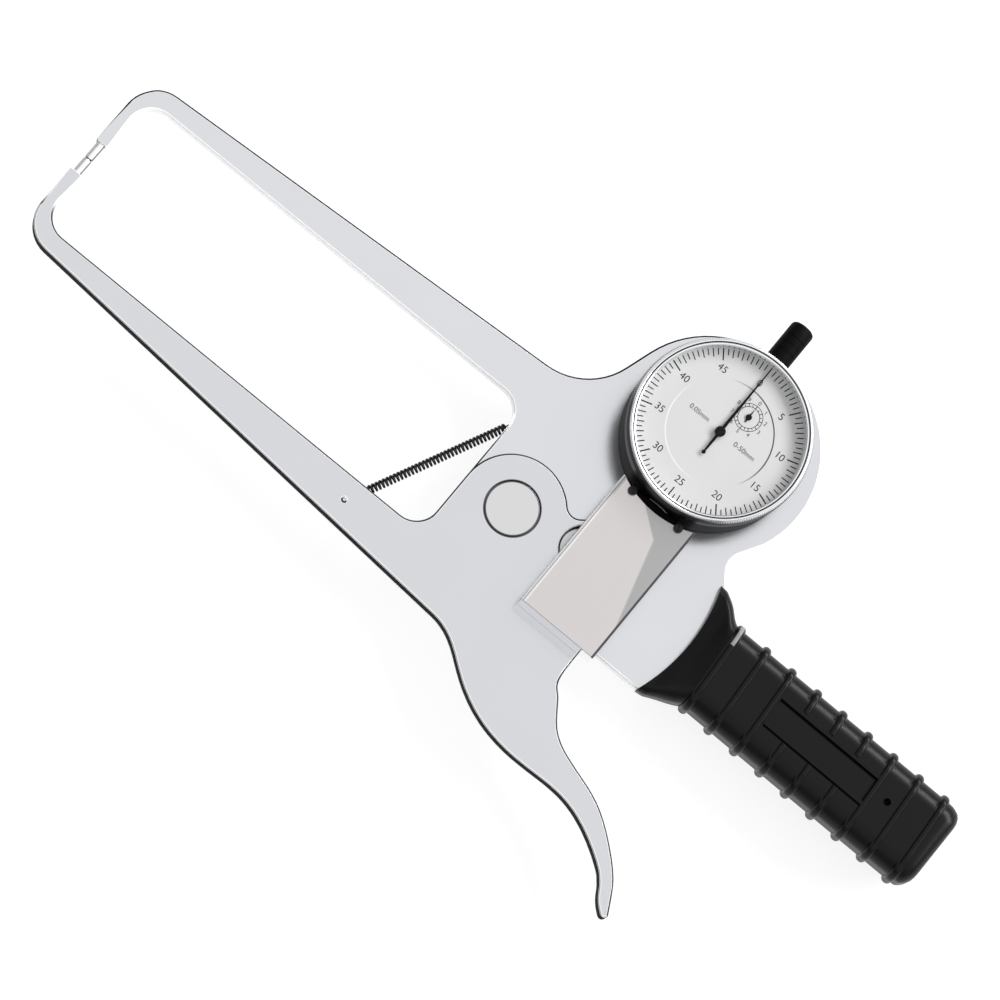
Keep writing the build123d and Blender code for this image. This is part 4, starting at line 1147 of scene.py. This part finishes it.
# %% [markdown]
# ## The grip's skin
#
# A circle of points gives each point its direction, and the section gives its reach, so the same points
# are used for every row. Each step extrudes the open edges and puts the new points in the next row. The
# end is closed by one face, and the front by a bridge between its upper and lower half. A bridge makes
# strips that can still be bent to the collar's hollow front, which one large face could not.

# %% Grip skin
def skin():
    mesh = bmesh.new()
    turn = Matrix.Rotation(math.radians(90), 4, "Y") @ Matrix.Rotation(math.radians(1.875), 4, "Z")
    bmesh.ops.create_circle(mesh, cap_ends=False, segments=96, radius=1.0, matrix=turn)
    units = [vert.co.copy() for vert in mesh.verts]
    rows = grip_rows()
    ring, edges = mesh.verts[:], mesh.edges[:]
    front = edges[:]
    for vert, unit in zip(ring, units):
        vert.co = shaped(unit, rows[0])
    for x in rows[1:]:
        grown = bmesh.ops.extrude_edge_only(mesh, edges=edges)["geom"]
        fresh = {g for g in grown if isinstance(g, bmesh.types.BMVert)}
        edges = [g for g in grown if isinstance(g, bmesh.types.BMEdge)]
        ring = [next(e.other_vert(v) for e in v.link_edges if e.other_vert(v) in fresh) for v in ring]
        for vert, unit in zip(ring, units):
            vert.co = shaped(unit, x)
    bmesh.ops.holes_fill(mesh, edges=edges, sides=0)
    halves = [e for e in front if (e.verts[0].co.z - grip_z) * (e.verts[1].co.z - grip_z) > 0]
    bmesh.ops.bridge_loops(mesh, edges=halves)
    bmesh.ops.recalc_face_normals(mesh, faces=mesh.faces)
    return mesh


grip_mesh = skin()
print("open edges of the skin:", sum(not e.is_manifold for e in grip_mesh.edges))

# %% [markdown]
# ## The grip's panel and joint
#
# A sunk panel for a label runs between the middle ribs on the upper face, with a deep groove along two of
# its sides and a raised bar below it. The skin is cut along these edges first, and then each band of
# points takes its height. The two mouldings meet in a fine joint along the sides. The ribs' slant comes
# last, because all cuts are square to the axes and the panel's ends have to slant with the ribs.

# %% Grip relief
def hollow_front(mesh):
    # Rows across the collar, pushed back along its curved front edge. The depth follows the new place.
    for step in range(21):
        near = [f for f in mesh.faces if f.calc_center_median().x < ribs[0] - 1.5]
        cut(mesh, with_borders(near), 1, -17.5 + 2 * step)
    for vert in mesh.verts:
        x, y, z = vert.co
        if x < ribs[0] - 2:
            moved = x + front_sag(y) * (1 - smoothstep(x, grip_start, ribs[0] - 2))
            vert.co.x = moved
            vert.co.z = grip_z + (z - grip_z) * section_at(moved)[1] / section_at(x)[1]


def relief(x, y):
    # Height over the upper face, or None where the ribs keep theirs.
    if panel_from < x < panel_to:
        for low, high, height in panel_bands:
            if low < y < high:
                return slot_floor if height == panel_floor and x > slot_from else height
    return None


def relieve(mesh):
    for edge in sorted({edge for band in panel_bands for edge in band[:2]}):
        for side in panel_walls:
            cut(mesh, everything(mesh), 1, edge + side)
    for vert in mesh.verts:
        height = relief(vert.co.x, vert.co.y) if vert.co.z > grip_top - 1.2 else None
        if height is not None:
            vert.co.z = grip_top + height


def part_halves(mesh):
    # The joint: a groove 0.3 mm wide where the front and rear mouldings meet.
    for side in (-0.15, 0, 0.15):
        cut(mesh, everything(mesh), 2, grip_z + side)
    for vert in mesh.verts:
        if abs(vert.co.z - grip_z) < 0.01 and grip_start + 1 < vert.co.x < grip_end - 0.5:
            vert.co.y -= math.copysign(0.2, vert.co.y - grip_y)


def slant(mesh):
    for vert in mesh.verts:
        x, y = vert.co.xy
        share = smoothstep(x, ribs[0] - 8, ribs[0] - 2) * (1 - smoothstep(x, ribs[-1] + 2, grip_end - 1))
        vert.co.x -= rib_slant * (y - grip_y) * share


hollow_front(grip_mesh)
relieve(grip_mesh)
part_halves(grip_mesh)
slant(grip_mesh)
print("grip faces with panel and joint:", len(grip_mesh.faces))

# %% [markdown]
# ## Screw holes in the grip
#
# Screws pull the halves together: one sits deep in a small hole in front, two in wide recesses at the back.
# A hole is opened without a boolean, which can leave thin slivers on the flat. Four cuts frame a square
# patch, the patch goes, a circle is bridged to its rim and drawn down, and a face closes the floor.

# %% Screw holes
front_x, front_y, front_radius, front_floor = 144.7, 3.1, 1.2, 8.2
back_screws, recess_radius, recess_depth = (93.445, 123.535), 2.62, 2


def drill(mesh, x, y, radius, level, floor):
    half = radius + 0.35
    for axis, middle in ((0, x), (1, y)):
        for side in (-half, half):
            near = [f for f in mesh.faces if (f.calc_center_median() - Vector((x, y, level))).length < 8]
            near = [f for f in near if abs(f.calc_center_median().z - level) < 0.02]
            cut(mesh, with_borders(near), axis, middle + side)
    patch = set()
    for face in mesh.faces:
        middle = face.calc_center_median() - Vector((x, y, level))
        if abs(middle.z) < 0.02 and max(abs(middle.x), abs(middle.y)) < half:
            patch.add(face)
    rim = [e for f in patch for e in f.edges if sum(face in patch for face in e.link_faces) == 1]
    bmesh.ops.delete(mesh, geom=list(patch), context="FACES")
    made = bmesh.ops.create_circle(
        mesh, cap_ends=False, segments=32, radius=radius, matrix=Matrix.Translation((x, y, level))
    )
    circle = list({e for v in made["verts"] for e in v.link_edges})
    bmesh.ops.bridge_loops(mesh, edges=rim + circle)
    grown = bmesh.ops.extrude_edge_only(mesh, edges=circle)["geom"]
    deep = [g for g in grown if isinstance(g, bmesh.types.BMVert)]
    bmesh.ops.translate(mesh, verts=deep, vec=(0, 0, floor - level))
    bmesh.ops.holes_fill(mesh, edges=[g for g in grown if isinstance(g, bmesh.types.BMEdge)], sides=0)


drill(grip_mesh, front_x, front_y, front_radius, grip_top, front_floor)
for screw_x in back_screws:
    drill(grip_mesh, screw_x, grip_y, recess_radius, grip_bottom, grip_bottom + recess_depth)
bmesh.ops.recalc_face_normals(grip_mesh, faces=grip_mesh.faces)
print("grip open edges:", sum(not e.is_manifold for e in grip_mesh.edges))
smooth(grip_mesh, 40)
grip = new_piece("grip_skin", grip_mesh, "frame", grip_plastic, ["grip_front", "grip_rear"])
print("grip faces:", len(grip.data.polygons))

# %% [markdown]
# ## The floor
#
# The gauge lies on a wide pale floor. The floor adds light of its own to what the camera sees of it, also
# in a mirror or through glass, so it reads as white there and still keeps a faint shadow. The light that it
# throws back on the gauge stays that of plain paper.

# %% Floor
def studio_floor(half_width, height):
    mesh = bmesh.new()
    bmesh.ops.create_grid(mesh, x_segments=1, y_segments=1, size=half_width)
    bmesh.ops.translate(mesh, verts=mesh.verts, vec=(0, 0, height))
    data = bpy.data.meshes.new("floor")
    mesh.to_mesh(data)
    mesh.free()
    floor = bpy.data.objects.new("floor", data)
    bpy.context.scene.collection.objects.link(floor)
    finish = Finish("floor_paper", (0.86, 0.86, 0.86, 1), roughness=0.9, Specular_IOR_Level=0.0)
    kinds = ("Camera", "Glossy", "Transmission")
    rays = [finish.node("LightPath", output=f"Is {kind} Ray") for kind in kinds]
    lit = finish.node("BsdfDiffuse", values={"Color": (0.2, 0.2, 0.2, 1)})
    glow = finish.node("Emission", values={"Color": (1, 1, 1, 1), "Strength": 0.84})
    seen = finish.node("AddShader", values={0: lit, 1: glow})
    paper = Field(finish, finish.shader.outputs[0])
    mixed = finish.node("MixShader", values={0: rays[0] + rays[1] + rays[2], 1: paper, 2: seen})
    output = next(n for n in finish.tree.nodes if n.type == "OUTPUT_MATERIAL")
    finish.link(output.inputs["Surface"], mixed)
    data.materials.append(finish.material)


floor_height = cad_low.z - 0.2 * MM
studio_floor(9.0, floor_height)
print("floor height, mm:", round(floor_height / MM, 2))

# %% [markdown]
# ## Sky and lamp
#
# The ceiling is even and bright, so flat metal shows one tone. The studio is darker behind the jaws than at
# the grip's end, which keeps the walls on that side black. A large soft lamp stands beyond the dial and the
# grip: it draws the bright streaks along the grip's upper flank and the shadow that the bezel throws on the
# dial.

# %% Sky and lamp
def lamp(name, place, target, size, power):
    data = bpy.data.lights.new(name, "AREA")
    data.shape = "RECTANGLE"
    data.size, data.size_y = size
    data.energy = power
    made = bpy.data.objects.new(name, data)
    made.location = place
    made.rotation_euler = (Vector(target) - Vector(place)).to_track_quat("-Z", "Y").to_euler()
    bpy.context.scene.collection.objects.link(made)


def sky(top, dark_end, light_end):
    # Even overhead. Near the horizon it goes from dark behind the jaws to light beyond the grip.
    world = bpy.data.worlds.new("studio")
    world.use_nodes = True
    bpy.context.scene.world = world
    tree = world.node_tree
    place = tree.nodes.new("ShaderNodeTexCoord")
    parts = tree.nodes.new("ShaderNodeSeparateXYZ")
    tree.links.new(place.outputs["Generated"], parts.inputs[0])
    horizon = ramp(tree, parts.outputs["X"], (-0.5, 0.6, dark_end, light_end))
    strength = ramp(tree, parts.outputs["Z"], (0.45, 0.85, horizon, top))
    tree.links.new(strength, tree.nodes["Background"].inputs["Strength"])
    tree.nodes["Background"].inputs["Color"].default_value = (1, 1, 1, 1)


def ramp(tree, value, ends):
    made = tree.nodes.new("ShaderNodeMapRange")
    made.interpolation_type = "SMOOTHSTEP"
    tree.links.new(value, made.inputs["Value"])
    for socket, end in zip(("From Min", "From Max", "To Min", "To Max"), ends):
        if isinstance(end, bpy.types.NodeSocket):
            tree.links.new(end, made.inputs[socket])
        else:
            made.inputs[socket].default_value = end
    return made.outputs[0]


sky(1.0, 0.25, 0.6)
lamp("far_lamp", (0.8, 1.3, 1.05), (0.03, 0, 0), (2.2, 0.6), 52)
bpy.context.scene.view_settings.view_transform = "Standard"
print("lights in the studio:", len(bpy.data.lights))
